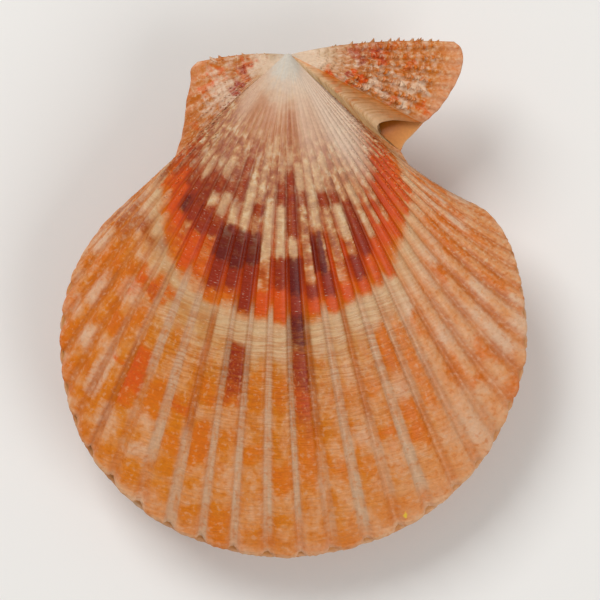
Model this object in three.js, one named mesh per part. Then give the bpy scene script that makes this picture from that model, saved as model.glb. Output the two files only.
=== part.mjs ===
// A closed pair of scallop valves, lying on the left valve.
// Each valve is built with its umbo at the origin, the fan running towards -Y and the outside facing +Z, and is then
// laid down as the pair comes to rest. Lengths are in millimetres and angles in degrees.
import * as THREE from "three";
import { mergeVertices } from "three/addons/utils/BufferGeometryUtils.js";

// Driving dimensions of the pair
const fanReach = 60; // umbo to the far edge of the fan
const hingeTilt = 4.5; // the hinge line rises by this towards the front ear
const seamGap = 0.3; // clearance between the two valves
const wallThickness = 1.2;
const fanEdgeThickness = 0.32;
const earThickness = 0.85;
const beakThickening = 0.15;

// Growth spiral: a margin shrinks and rises as it turns back about the hinge
const spiralRate = 2.05; // shrinking per radian of turn
const beakWidth = 0.3; // how much of its breadth the beak keeps where it stands on the hinge
const growthTurns = [0, 2, 4.5, 7.5, 11.5, 17, 24, 33, 46, 63, 90];
const halfColumnsFrom = 33; // turn past which the ribs are drawn with half of the columns
const quarterColumnsFrom = 63;

// Ribs and the drift of the growth lines
const ribShare = 0.2; // rib height as a share of the rib spacing
const tallestRib = 0.8;
const flankRibletHeight = 0.25;
const crestHalfWidth = 0.28; // in rib spacings
const crestShoulder = 0.86; // height of a rib at the sides of its crest, as a share of its height
const shoulderWave = -0.2; // the seam there, as a share of its wave at the crest
const steepestRib = 0.5; // a rib is never higher than this share of the room that its columns have
const seamWave = 0.3; // how far the seam follows the ribs up and down
const waveBand = 0.7; // how far inside the edge the waves die away
const earRibHeight = 0.3;
const growthDrift = 3; // early growth points this much further to the hind side
const frontFlare = 4; // the front flank turns outwards by this as it grows
const marginSharpness = 3; // how late in its growth a column takes on the angle of its margin point
const troughDepth = 0.45; // the byssal trough under the front ear

// How the pair lies
const restPitch = 5.4; // the fan's edge dips by this
const restRoll = 1.6;
const umboPlace = [-0.63, 29.01, 13.729];

// Margins seen from outside the right valve, as pairs of angle from the fan's axis and distance from the umbo
const hindEarMargin = [
  [-85.5, 10.8],
  [-81.3, 11.7],
  [-74.6, 12],
  [-65.3, 13.3],
  [-58, 14.5],
  [-51.8, 16.2],
  [-45.7, 19.5],
];
const fanMargin = [
  [-45.7, 19.5],
  [-47.3, 24.5],
  [-47.2, 30.3],
  [-44.5, 36.3],
  [-38.1, 43.8],
  [-27.9, 52],
  [-15.5, 57.5],
  [-1.5, fanReach - 0.3],
  [12.5, 58.1],
  [24, 54.2],
  [33.4, 48.9],
  [39.5, 44.6],
  [46.4, 38],
  [50, 34],
  [51.6, 30.4],
  [50, 26.5],
  [47.5, 22.1],
  [47.6, 19.3],
  [49.6, 17.6],
];
const notchMargin = [
  [49.6, 17.6],
  [49.5, 16],
  [49.8, 14.5],
  [51.9, 13.6],
  [55.6, 14.1],
  [58.6, 15.1],
  [61.2, 16.6],
  [63.4, 18],
];
const closedEarMargin = [
  [49.6, 17.6],
  [53.5, 17.4],
  [57.3, 17.6],
  [60.5, 17.8],
  [63.4, 18],
];
const frontEarMargin = [
  [63.4, 18],
  [70.4, 19.05],
  [77.3, 19.85],
  [83, 20.5],
  [88, 20.8],
  [92, 20.6],
  [94.5, 19.8],
];
const ribAngles = [
  -44.3, -41.6, -38.4, -35.2, -31.8, -28.4, -24.6, -20.5, -16.2, -12.2, -8.3, -4.5, -0.2, 3.1, 7.2, 11.2, 15.1, 19.3,
  23, 26.8, 30.5, 34.3, 37.8, 41.1, 43.7, 45.8, 47.6, 49.1,
];
const hindFlank = { angle: -45.7, beyond: 36, start: -46.3, end: -45.2 }; // the main ribs begin past its angle
const frontFlank = { angle: 49.9, beyond: 33, start: 47.2 };
const earStart = 63.4; // the front ear's lower edge
const hindFlankRiblets = 4;
const frontFlankRiblets = 6;
const hindEarRiblets = 7;
const frontEarRiblets = 7;
const notchColumns = 9;
const hindEarFold = 0.5;
const frontEarFold = 1;

// The hollow inside a valve
const rimWidth = 1.5;
const flankWall = 1.3;
const hollowStart = 5.5; // distance from the umbo at which the hollow starts
const hollowCentre = [0.5, -29];
const hollowCreases = [-45.6, 44.4];
const hollowSpan = [-44, 49.5]; // the hollow follows the main ribs only
const hollowRings = [0, 0.05, 0.14, 0.3, 0.52, 0.78];
const hollowSides = 48;

// The ligament pad, seen from the front ear's side
const ligamentWidth = 3.4;
const ligamentBack = 6.4;
const ligamentDepth = 1.7;
const ligamentBackHeight = 0.55;
const ligamentFrontHeight = 1.5;
const ligamentBulge = 0.4;

const radians = THREE.MathUtils.degToRad;
const ramp = THREE.MathUtils.smoothstep;
const mix = THREE.MathUtils.lerp;
const clamp = THREE.MathUtils.clamp;

function polarPoint([angle, distance]) {
  return new THREE.Vector3(distance * Math.sin(radians(angle)), -distance * Math.cos(radians(angle)), 0);
}

function polarCurve(margin) {
  return new THREE.CatmullRomCurve3(margin.map(polarPoint), false, "centripetal");
}

function angleOf(point) {
  return THREE.MathUtils.radToDeg(Math.atan2(point.x, -point.y));
}

// How far a margin point stands in front of the hinge line
function hingeDistance(point) {
  return Math.max(0, point.x * Math.sin(radians(hingeTilt)) - point.y * Math.cos(radians(hingeTilt)));
}

// The share of its distance from the umbo that a margin point keeps after a turn, and the rise that goes with it
function shrink(turn) {
  return Math.exp(-spiralRate * radians(turn)) * Math.cos(radians(turn));
}

function rise(turn) {
  return Math.exp(-spiralRate * radians(turn)) * Math.sin(radians(turn));
}

function turnAt(share) {
  let low = 0;
  let high = 90;
  for (let step = 0; step < 30; step++) {
    const middle = (low + high) / 2;
    if (shrink(middle) > share) low = middle;
    else high = middle;
  }
  return (low + high) / 2;
}

// Early growth leans to the hind side, and less so on the ears
function driftAt(angle) {
  return growthDrift * ramp(angle, -75, -46) * (1 - ramp(angle, 48, 63));
}

function flareAt(angle) {
  return frontFlare * ramp(angle, 18, 46);
}

// A column is one line of growth: its margin point, the angle it starts from, and what it carries
function column(point, start, more = {}) {
  return {
    point,
    start,
    angle: angleOf(point),
    distance: point.length(),
    reach: hingeDistance(point),
    lift: 0,
    wave: 0,
    edge: fanEdgeThickness,
    bow: 0,
    ...more,
  };
}

// The fan's margin, with each place on it found by its angle
function fanPlaces() {
  const curve = polarCurve(fanMargin);
  const steps = 1200;
  const places = curve.getSpacedPoints(steps);
  const first = places.findIndex((p) => p.length() > hindFlank.beyond && angleOf(p) > hindFlank.angle);
  const last = places.findLastIndex((p) => p.length() > frontFlank.beyond && angleOf(p) < frontFlank.angle);
  const atAngle = (angle) => places.findIndex((p, i) => i >= first && angleOf(p) >= angle) / steps;
  return { curve, atAngle, first: first / steps, last: last / steps };
}

// Where the rib crests meet the margin, as shares of its length; the flanks have finer riblets
function ribPlaces(fan) {
  const hind = Array.from({ length: hindFlankRiblets }, (_, i) => (fan.first * (i + 0.5)) / hindFlankRiblets);
  const front = Array.from(
    { length: frontFlankRiblets },
    (_, i) => mix(fan.last, 1, (i + 0.5) / frontFlankRiblets),
  );
  return [...hind, ...ribAngles.map(fan.atAngle), ...front];
}

// The left valve's ribs lie between those of the right valve
function placesBetween(places) {
  return [places[0] / 2, ...places.slice(1).map((place, i) => (place + places[i]) / 2), (places.at(-1) + 1) / 2];
}

function fanColumns(crests) {
  const fan = fanPlaces();
  const marginLength = fan.curve.getLength();
  const columns = [];
  const startAt = (place, angle) => {
    if (place < fan.first) return mix(hindFlank.start, hindFlank.end, place / fan.first);
    if (place <= fan.last) return Math.max(hindFlank.end, angle - flareAt(angle));
    return mix(frontFlank.angle - frontFlare, frontFlank.start, (place - fan.last) / (1 - fan.last));
  };
  const add = (place, lift, wave, spacing) => {
    const point = fan.curve.getPointAt(place);
    const start = startAt(place, angleOf(point));
    const onFlank = place < fan.first || place > fan.last;
    const height = Math.min(onFlank ? flankRibletHeight : tallestRib, ribShare * spacing * marginLength);
    columns.push(column(point, start, { lift: lift * height, wave: (wave * seamWave * height) / tallestRib }));
  };
  crests.forEach((crest, i) => {
    const before = i ? (crests[i - 1] + crest) / 2 : 0;
    const after = i + 1 < crests.length ? (crests[i + 1] + crest) / 2 : 1;
    const spacing = after - before;
    add(before, 0, i ? -1 : 0, i ? spacing : 0);
    add(mix(crest, before, 2 * crestHalfWidth), crestShoulder, shoulderWave, spacing);
    add(crest, 1, 1, spacing);
    add(mix(crest, after, 2 * crestHalfWidth), crestShoulder, shoulderWave, spacing);
  });
  return columns;
}

function earColumns(margin, riblets) {
  const curve = polarCurve(margin);
  const count = 2 * riblets;
  return Array.from({ length: count + 1 }, (_, i) => {
    const point = curve.getPointAt(i / count);
    return column(point, angleOf(point), { lift: i % 2 ? earRibHeight : 0, edge: earThickness });
  });
}

// The trough under the front ear, which ends in the notch; the left valve has a plain ear there
function notchPlaces(margin, depth) {
  const curve = polarCurve(margin);
  return Array.from({ length: notchColumns }, (_, i) => {
    const share = i / notchColumns;
    const point = curve.getPointAt(share);
    const start = mix(frontFlank.start, earStart, share);
    return column(point, start, {
      lift: -depth * Math.sin(Math.PI * share),
      edge: mix(fanEdgeThickness, earThickness, ramp(share, 0, 0.35)),
    });
  });
}

// The upper edge of an ear is drawn up into a low fold
function foldUp(columns, height) {
  columns.forEach((c, i) => {
    c.bow = height * Math.pow(0.5, i);
  });
}

function valveColumns(isRight) {
  const rightCrests = ribPlaces(fanPlaces());
  const hindEar = earColumns(hindEarMargin, hindEarRiblets).slice(0, -1);
  const fan = fanColumns(isRight ? rightCrests : placesBetween(rightCrests));
  const notch = isRight ? notchPlaces(notchMargin, troughDepth) : notchPlaces(closedEarMargin, 0);
  const frontEar = earColumns(frontEarMargin, frontEarRiblets);
  foldUp(hindEar, hindEarFold);
  foldUp([...frontEar].reverse(), frontEarFold);
  hindEar.at(-1).lift = 0;
  return [...hindEar, ...fan, ...notch, ...frontEar];
}

// The smooth outside of the valve at one column and one turn of growth
function smoothPoint(c, turn) {
  const share = shrink(turn);
  const grown = Math.pow(share, marginSharpness);
  const angle = radians(mix(c.start, c.angle, grown) - driftAt(c.angle) * (1 - share));
  const spread = Math.exp(-spiralRate * radians(turn));
  const breadth = Math.hypot(Math.cos(radians(turn)), beakWidth * Math.sin(radians(turn))) - Math.cos(radians(turn));
  const thickness = mix(earThickness + beakThickening, c.edge, share * share);
  return new THREE.Vector3(
    c.distance * share * Math.sin(angle) + c.point.x * spread * breadth,
    -c.distance * share * Math.cos(angle) + c.bow * 4 * share * (1 - share) * (1 - 0.3 * share),
    seamGap / 2 + thickness + c.reach * rise(turn),
  );
}

function outsideGrid(columns) {
  const smooth = growthTurns.map((turn) => columns.map((c) => smoothPoint(c, turn)));
  return smooth.map((row, r) =>
    row.map((point, i) => {
      const along = row[Math.min(i + 1, row.length - 1)].clone().sub(row[Math.max(i - 1, 0)]);
      const back = smooth[Math.min(r + 1, smooth.length - 1)][i].clone().sub(smooth[Math.max(r - 1, 0)][i]);
      const room = steepestRib * along.length();
      const normal = along.cross(back).normalize();
      return point.clone().addScaledVector(normal, clamp(columns[i].lift * shrink(growthTurns[r]), -room, room));
    }),
  );
}

// Collects points and triangles of one closed mesh
class Surface {
  constructor() {
    this.points = [];
    this.faces = [];
  }

  add(point) {
    this.points.push(point);
    return this.points.length - 1;
  }

  face(a, b, c) {
    if (a !== b && b !== c && c !== a) this.faces.push(a, b, c);
  }

  // Joins two rows of { at, key } whose keys rise together
  strip(lower, upper) {
    let i = 0;
    let j = 0;
    while (i < lower.length - 1 || j < upper.length - 1) {
      const nextLower = i < lower.length - 1 ? lower[i + 1].key : Infinity;
      const nextUpper = j < upper.length - 1 ? upper[j + 1].key : Infinity;
      if (nextLower <= nextUpper) {
        this.face(lower[i].at, lower[i + 1].at, upper[j].at);
        i++;
      } else {
        this.face(lower[i].at, upper[j + 1].at, upper[j].at);
        j++;
      }
    }
  }

  geometry() {
    const made = new THREE.BufferGeometry().setFromPoints(this.points);
    made.setIndex(this.faces);
    return mergeVertices(made, 1e-4);
  }
}

// Rows near the beak use fewer of the columns
function columnsIn(row, count) {
  const turn = growthTurns[row];
  const step = turn >= quarterColumnsFrom ? 4 : turn >= halfColumnsFrom ? 2 : 1;
  return Array.from({ length: count }, (_, i) => i).filter((i) => i % step === 0 || i === count - 1);
}

// The height of the smooth outside above a place in the fan
function outsideHeight(x, y, fanReachAt) {
  const direction = angleOf({ x, y });
  const distance = Math.hypot(x, y);
  let angle = direction;
  let share = 1;
  for (let step = 0; step < 8; step++) {
    share = Math.min(1, distance / fanReachAt(angle));
    const early = 1 - Math.pow(share, marginSharpness);
    angle = clamp(direction + driftAt(angle) * (1 - share) + flareAt(angle) * early, ...hollowSpan);
  }
  const reach = hingeDistance(polarPoint([angle, fanReachAt(angle)]));
  const thickness = mix(earThickness + beakThickening, fanEdgeThickness, share * share);
  return seamGap / 2 + thickness + reach * rise(turnAt(share));
}

function hollowHeight(x, y, fanReachAt) {
  const step = 0.4;
  const here = outsideHeight(x, y, fanReachAt);
  const slope = Math.hypot(
    (outsideHeight(x + step, y, fanReachAt) - outsideHeight(x - step, y, fanReachAt)) / (2 * step),
    (outsideHeight(x, y + step, fanReachAt) - outsideHeight(x, y - step, fanReachAt)) / (2 * step),
  );
  const roof = here - wallThickness * Math.hypot(1, slope);
  const start = seamGap / 2 + Math.max(0, Math.hypot(x, y) - hollowStart);
  return Math.max(seamGap / 2 + 0.05, Math.min(roof, start));
}

// The mouth of the hollow: inside the fan's margin, inside both flanks, and short of the umbo
function hollowMouth(fanReachAt) {
  return Array.from({ length: hollowSides }, (_, i) => {
    const direction = (2 * Math.PI * i) / hollowSides;
    const inside = (reach) => {
      const x = hollowCentre[0] + reach * Math.sin(direction);
      const y = hollowCentre[1] + reach * Math.cos(direction);
      const distance = Math.hypot(x, y);
      const angle = angleOf({ x, y });
      const hindSide = distance * Math.sin(radians(angle - hollowCreases[0])) > flankWall;
      const frontSide = distance * Math.sin(radians(hollowCreases[1] - angle)) > flankWall;
      const beforeRim = distance < fanReachAt(clamp(angle, ...hollowSpan)) - rimWidth;
      return y < -hollowStart && hindSide && frontSide && beforeRim;
    };
    let reach = 0;
    while (inside(reach + 0.1)) reach += 0.1;
    return new THREE.Vector2(
      hollowCentre[0] + reach * Math.sin(direction),
      hollowCentre[1] + reach * Math.cos(direction),
    );
  });
}

// How far the fan's margin is from the umbo at any angle that the hollow reaches
function fanReachFinder() {
  const fan = fanPlaces();
  const step = 0.5;
  const samples = [];
  for (let angle = hollowSpan[0]; angle <= hollowSpan[1] + step; angle += step) {
    samples.push(fan.curve.getPointAt(fan.atAngle(angle)).length());
  }
  return (angle) => {
    const place = (clamp(angle, ...hollowSpan) - hollowSpan[0]) / step;
    const low = Math.floor(place);
    return mix(samples[low], samples[low + 1], place - low);
  };
}

// One valve: ribbed outside, edge, flat land round the hollow, and the hollow itself
function valveGeometry(isRight) {
  const columns = valveColumns(isRight);
  const last = columns.length - 1;
  const surface = new Surface();
  const grid = outsideGrid(columns);
  const rows = grid.map((row, r) =>
    columnsIn(r, columns.length).map((i) => ({ key: i, at: surface.add(row[i]), column: i })),
  );
  rows.slice(1).forEach((row, r) => surface.strip(rows[r], row));

  // The edge runs along the margin, up the front end of the hinge line, and down from its hind end
  const beakRow = rows.at(-1);
  const frontHinge = rows.slice(1).map((row) => row.at(-1).at);
  const hindHinge = rows.slice(1).map((row) => row[0].at);
  const rim = [...rows[0].map((place) => place.at), ...frontHinge, ...hindHinge.reverse()];
  const waves = [...rows[0].map((place) => columns[place.column].wave)];
  const inner = rim.map((at, i) => {
    const point = surface.points[at].clone();
    point.z = seamGap / 2 + (waves[i] ?? 0);
    return surface.add(point);
  });
  rim.forEach((at, i) => {
    const next = (i + 1) % rim.length;
    if (at === frontHinge.at(-1)) return;
    surface.face(at, inner[i], inner[next]);
    surface.face(at, inner[next], rim[next]);
  });

  // The back of the beak, from its arch down to the hinge line
  const frontFoot = inner[last + frontHinge.length];
  const hindFoot = inner[last + frontHinge.length + 1];
  const middle = surface.add(new THREE.Vector3(0, 0, seamGap / 2 + earThickness));
  for (let i = 1; i < beakRow.length; i++) surface.face(beakRow[i - 1].at, beakRow[i].at, middle);
  surface.face(beakRow.at(-1).at, frontFoot, middle);
  surface.face(frontFoot, hindFoot, middle);
  surface.face(hindFoot, beakRow[0].at, middle);

  // The seam's waves die away in a narrow band, and the land inside it is flat
  const land = inner.map((at, i) => {
    if (!waves[i]) return at;
    const point = surface.points[at].clone();
    const inwards = new THREE.Vector3(...hollowCentre, point.z).sub(point).normalize();
    point.addScaledVector(inwards, waveBand);
    point.z = seamGap / 2;
    return surface.add(point);
  });
  inner.forEach((at, i) => {
    const next = (i + 1) % inner.length;
    surface.face(at, land[i], land[next]);
    surface.face(at, land[next], inner[next]);
  });
  const fanReachAt = fanReachFinder();
  const mouth = hollowMouth(fanReachAt);
  const mouthAt = mouth.map((p) => surface.add(new THREE.Vector3(p.x, p.y, seamGap / 2)));
  const outline = land.map((at) => new THREE.Vector2(surface.points[at].x, surface.points[at].y));
  const landPoints = [...land, ...mouthAt];
  THREE.ShapeUtils.triangulateShape(outline, [mouth]).forEach(([a, b, c]) => {
    const [p, q, r] = [a, b, c].map((i) => surface.points[landPoints[i]]);
    const turn = (q.x - p.x) * (r.y - p.y) - (q.y - p.y) * (r.x - p.x);
    if (turn > 0) surface.face(landPoints[a], landPoints[c], landPoints[b]);
    else surface.face(landPoints[a], landPoints[b], landPoints[c]);
  });

  // The hollow rises in rings to its highest point
  const top = surface.add(
    new THREE.Vector3(...hollowCentre, hollowHeight(...hollowCentre, fanReachAt)),
  );
  const rings = hollowRings.map((share, ring) =>
    mouth.map((p, i) => {
      if (!ring) return mouthAt[i];
      const x = mix(p.x, hollowCentre[0], share);
      const y = mix(p.y, hollowCentre[1], share);
      return surface.add(new THREE.Vector3(x, y, hollowHeight(x, y, fanReachAt)));
    }),
  );
  rings.forEach((ring, r) => {
    ring.forEach((at, i) => {
      const next = (i + 1) % ring.length;
      const above = rings[r + 1] ?? null;
      if (!above) {
        surface.face(at, ring[next], top);
        return;
      }
      surface.face(at, ring[next], above[next]);
      surface.face(at, above[next], above[i]);
    });
  });
  return surface.geometry();
}

// A wedge that fills the hinge end of the hollow, wider towards the fan
function ligamentGeometry() {
  const side = new THREE.Shape();
  side.moveTo(0, -ligamentBackHeight / 2);
  side.lineTo(ligamentDepth, -ligamentFrontHeight / 2);
  side.quadraticCurveTo(ligamentDepth + ligamentBulge, 0, ligamentDepth, ligamentFrontHeight / 2);
  side.lineTo(0, ligamentBackHeight / 2);
  side.closePath();
  const pad = new THREE.ExtrudeGeometry(side, { depth: ligamentWidth, bevelEnabled: false, curveSegments: 6 });
  pad.translate(0, 0, -ligamentWidth / 2);
  pad.rotateY(Math.PI / 2);
  pad.rotateX(-Math.PI / 2);
  return pad;
}

function finish(color, roughness) {
  return new THREE.MeshStandardMaterial({ color, roughness, metalness: 0 });
}

function named(name, geometry, material) {
  const mesh = new THREE.Mesh(geometry, material);
  mesh.name = name;
  return mesh;
}

const rightValve = named("right_valve", valveGeometry(true), finish(0xd2783c, 0.45));
const leftValve = named("left_valve", valveGeometry(false), finish(0xcf8a58, 0.5));
leftValve.scale.z = -1;
const ligament = named("ligament", ligamentGeometry(), finish(0x2c1a12, 0.7));
ligament.position.y = -ligamentBack;

const shell = new THREE.Group();
shell.add(rightValve, leftValve, ligament);
shell.rotation.set(radians(restPitch), radians(restRoll), 0);
shell.position.set(...umboPlace);

const part = new THREE.Group();
part.add(shell);
export default part;
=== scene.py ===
import math
import random
from types import SimpleNamespace

import bmesh
import bpy
import numpy as np
from mathutils import Matrix, Vector


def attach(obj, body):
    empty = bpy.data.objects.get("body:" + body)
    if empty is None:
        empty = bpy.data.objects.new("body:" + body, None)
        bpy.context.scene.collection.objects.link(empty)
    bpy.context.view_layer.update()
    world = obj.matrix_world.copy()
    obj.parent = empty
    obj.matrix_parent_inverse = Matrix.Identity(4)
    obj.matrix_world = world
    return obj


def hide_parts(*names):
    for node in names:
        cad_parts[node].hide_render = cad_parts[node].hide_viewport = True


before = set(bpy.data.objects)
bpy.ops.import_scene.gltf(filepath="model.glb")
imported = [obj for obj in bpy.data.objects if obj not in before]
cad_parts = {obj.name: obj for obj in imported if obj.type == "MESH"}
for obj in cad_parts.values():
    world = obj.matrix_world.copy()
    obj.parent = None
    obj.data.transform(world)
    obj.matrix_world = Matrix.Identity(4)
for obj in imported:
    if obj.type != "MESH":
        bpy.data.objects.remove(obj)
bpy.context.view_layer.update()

mm = 0.001

# The growth rule of both valves in mm and degrees: umbo at the origin, fan towards -Y, outside up
growthRule = {
    "fanReach": 60,
    "hingeTilt": 4.5,
    "seamGap": 0.12,
    "fanEdge": 0.32,
    "earThickness": 0.85,
    "beakThickening": 0.15,
    "spiralRate": 2.05,
    "beakWidth": 0.3,
    "marginSharpness": 3,
    "growthDrift": 3,
    "driftHind": (-75, -46),
    "driftFront": (48, 63),
    "frontFlare": 4,
    "ribShare": 0.2,
    "tallestRib": 0.8,
    "flankRiblet": 0.25,
    "hindEarRiblet": 0.14,
    "frontEarRiblet": 0.34,
    "seamWave": 0.3,
    "troughDepth": 0.45,
    "steepestRib": 0.5,
    "hindFold": 0.5,
    "frontFold": 0.82,
    "marginNick": 0.5,
    "marginCrumble": 0.16,
    "crumbleSeed": 8,
}
restPose = {"pitch": 5.4, "roll": 1.6, "umbo": (-0.63, 29.01, 13.729)}

# Points of the margin: the angle from -Y, positive towards the front ear, and the distance from the umbo
hindEarMargin = [
    (-85.5, 10.8), (-81.3, 11.7), (-74.6, 12), (-65.3, 13.3), (-58, 14.5), (-51.8, 16.2), (-45.7, 19.5),
]
fanMargin = [
    (-45.7, 19.5), (-47.3, 24.5), (-47.2, 30.3), (-44.5, 36.3), (-38.1, 43.8), (-27.9, 52), (-15.5, 57.5),
    (-1.5, growthRule["fanReach"] - 0.3), (12.5, 58.1), (24, 54.2), (33.4, 48.9), (39.5, 44.6), (46.4, 38),
    (50, 34), (51.6, 30.4), (50, 26.5), (47.5, 22.1), (47.6, 19.3), (49.6, 17.6),
]
notchMargin = [
    (49.6, 17.6), (49.5, 16), (49.8, 14.5), (51.9, 13.6), (55.6, 14.1), (58.6, 15.1), (61.2, 16.6),
    (63.4, 18),
]
closedEarMargin = [(49.6, 17.6), (53.5, 17.4), (57.3, 17.6), (60.5, 17.8), (63.4, 18)]
frontEarMargin = [
    (63.4, 18), (70.4, 19.05), (77.3, 19.85), (83, 20.5), (88, 20.8), (92, 20.6), (94.5, 19.8),
]
ribAngles = [
    -44.3, -41.6, -38.4, -35.2, -31.8, -28.4, -24.6, -20.5, -16.2, -12.2, -8.3, -4.5, -0.2, 3.1, 7.2, 11.2,
    15.1, 19.3, 23, 26.8, 30.5, 34.3, 37.8, 41.1, 43.7, 45.8, 47.6, 49.1,
]
hindFlank = {"angle": -45.7, "beyond": 36, "start": -46.3, "end": -45.2, "riblets": 4}
frontFlank = {"angle": 49.9, "beyond": 33, "start": 47.2, "riblets": 6, "flareFrom": 18, "flareTo": 46}
earStart = 63.4

# A rib's cross-section in shares of its width; away from the middle rib it turns into a plain wave
ribShape = {
    "crownFall": 0.13, "crownHalf": 0.28, "sideFrom": 0.25, "sideTo": 0.43, "floor": 0.02,
    "middle": 11.5, "plainFrom": 5, "plainTo": 9,
}

# How finely the valves are drawn
fineness = {
    "ribSteps": (-0.4, -0.34, -0.28, -0.2, -0.1, 0, 0.1, 0.2, 0.28, 0.34, 0.4, 0.5),
    "earSteps": 8,
    "earRiblets": 7,
    "notchSteps": 24,
    "curveStep": 0.02,
    "marginPlaces": 1201,
    "turnPlaces": 3001,
    "lamellaPitch": 0.74,
    "lamellaSizes": (0.62, 0.8, 0.95, 1, 1.1, 1.3),
    "lamellaStep": 0.16,
    "lipHeights": (0.55, 0.8, 1, 1, 1.25),
    "marginLip": 0.6,
    "beakLength": 3,
    "beakRows": (0.35, 0.7),
    "halfColumnsBelow": 0.38,
    "innerRows": 16,
    "innerEvery": 4,
    "innerFirstTurn": 0.4,
    "innerCrowding": 1.5,
    "mergeDistance": 1e-8,
}


def smooth(value, low, high):
    t = np.clip((value - low) / (high - low), 0, 1)
    return t * t * (3 - 2 * t)


def band(value, low, high, softness):
    begun = smooth(value, low - softness, low + softness)
    return begun * (1 - smooth(value, high - softness, high + softness))


def blendTo(a, b, t):
    return a + (b - a) * t


# A curve through the points of a margin: returns the place at any share of its length
def marginCurve(margin):
    points = np.array([(d * math.sin(math.radians(a)), -d * math.cos(math.radians(a))) for a, d in margin])
    points = np.vstack([2 * points[0] - points[1], points, 2 * points[-1] - points[-2]])
    samples = []
    for i in range(1, len(points) - 2):
        p0, p1, p2, p3 = points[i - 1:i + 3]
        d0, d1, d2 = (math.sqrt(np.linalg.norm(b - a)) for a, b in ((p0, p1), (p1, p2), (p2, p3)))
        out = ((p1 - p0) / d0 - (p2 - p0) / (d0 + d1) + (p2 - p1) / d1) * d1
        into = ((p2 - p1) / d1 - (p3 - p1) / (d1 + d2) + (p3 - p2) / d2) * d1
        square = 3 * (p2 - p1) - 2 * out - into
        cube = 2 * (p1 - p2) + out + into
        for t in np.arange(0, 1, fineness["curveStep"]):
            samples.append(p1 + out * t + square * t ** 2 + cube * t ** 3)
    samples.append(points[-2])
    samples = np.array(samples)
    along = np.concatenate([[0], np.cumsum(np.linalg.norm(np.diff(samples, axis=0), axis=1))])

    def at(share):
        target = np.clip(share, 0, 1) * along[-1]
        return np.array([np.interp(target, along, samples[:, 0]), np.interp(target, along, samples[:, 1])])

    return at, along[-1]


def angleOf(point):
    return math.degrees(math.atan2(point[0], -point[1]))


# The shares of the fan's margin at which the flanks end and at which each rib has its crest
def fanPlaces():
    at, length = marginCurve(fanMargin)
    shares = np.linspace(0, 1, fineness["marginPlaces"])
    points = [at(share) for share in shares]
    angles = np.array([angleOf(p) for p in points])
    reach = np.array([math.hypot(*p) for p in points])
    first = int(np.argmax((reach > hindFlank["beyond"]) & (angles > hindFlank["angle"])))
    last = int(np.max(np.nonzero((reach > frontFlank["beyond"]) & (angles < frontFlank["angle"]))))
    hindCount, frontCount = hindFlank["riblets"], frontFlank["riblets"]
    hind = [shares[first] * (i + 0.5) / hindCount for i in range(hindCount)]
    front = [blendTo(shares[last], 1, (i + 0.5) / frontCount) for i in range(frontCount)]
    main = [shares[first + int(np.argmax(angles[first:] >= angle))] for angle in ribAngles]
    return at, length, shares[first], shares[last], hind + main + front


# A rib: rounded top, steep sides and a narrow flat floor, or a plain wave; t runs from -0.5 to 0.5
def ribProfile(t, waviness):
    crown = 1 - ribShape["crownFall"] * (t / ribShape["crownHalf"]) ** 2
    steep = crown * (1 - smooth(abs(t), ribShape["sideFrom"], ribShape["sideTo"])) + ribShape["floor"]
    return blendTo(steep, 0.5 + 0.5 * math.cos(2 * math.pi * t), waviness)


def makeColumn(point, start, **more):
    column = {
        "x": point[0], "y": point[1], "angle": angleOf(point), "start": start, "lift": 0.0, "crest": 0.0,
        "wave": 0.0, "edge": growthRule["fanEdge"], "bow": 0.0, "rib": 0.0, "part": "fan",
    }
    column.update(more)
    return column


def fanColumns(isRight):
    rng = random.Random(growthRule["crumbleSeed"] + isRight)
    at, length, first, last, crests = fanPlaces()
    if not isRight:
        middles = [(a + b) / 2 for a, b in zip(crests, crests[1:])]
        crests = [crests[0] / 2] + middles + [(crests[-1] + 1) / 2]
    columns = []
    for i, crest in enumerate(crests):
        before = (crests[i - 1] + crest) / 2 if i else 0
        after = (crests[i + 1] + crest) / 2 if i + 1 < len(crests) else 1
        index = i - hindFlank["riblets"] - (0 if isRight else 0.5)
        waviness = float(smooth(abs(index - ribShape["middle"]), ribShape["plainFrom"], ribShape["plainTo"]))
        for t in ((-0.5,) if i == 0 else ()) + fineness["ribSteps"]:
            place = blendTo(crest, after if t > 0 else before, 2 * abs(t))
            point = at(place)
            onFlank = place < first or place > last
            if place < first:
                start = blendTo(hindFlank["start"], hindFlank["end"], place / first)
            elif place <= last:
                angle = angleOf(point)
                flare = smooth(angle, frontFlank["flareFrom"], frontFlank["flareTo"])
                start = max(hindFlank["end"], angle - growthRule["frontFlare"] * flare)
            else:
                late = (place - last) / (1 - last)
                start = blendTo(frontFlank["angle"] - growthRule["frontFlare"], frontFlank["start"], late)
            tallest = growthRule["flankRiblet"] if onFlank else growthRule["tallestRib"]
            height = min(tallest, growthRule["ribShare"] * (after - before) * length)
            crestNow = ribProfile(t, waviness)
            nick = growthRule["marginCrumble"] * rng.random()
            if not onFlank:
                nick += growthRule["marginNick"] * (1 - crestNow) ** 2 * (0.7 + 0.6 * t)
            point = point * (1 - nick / math.hypot(*point))
            wave = growthRule["seamWave"] * height / growthRule["tallestRib"] * math.cos(2 * math.pi * t)
            columns.append(makeColumn(point, start, lift=crestNow * height, crest=crestNow, wave=wave,
                                      rib=index + t))
    return columns


def earColumns(margin, part, height):
    at, _ = marginCurve(margin)
    count = fineness["earSteps"] * fineness["earRiblets"]
    columns = []
    for i in range(count + 1):
        point = at(i / count)
        rib = i / fineness["earSteps"]
        crest = 0.5 - 0.5 * math.cos(2 * math.pi * rib)
        columns.append(makeColumn(point, angleOf(point), lift=crest * height, crest=crest, rib=rib, part=part,
                                  edge=growthRule["earThickness"]))
    return columns


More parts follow.
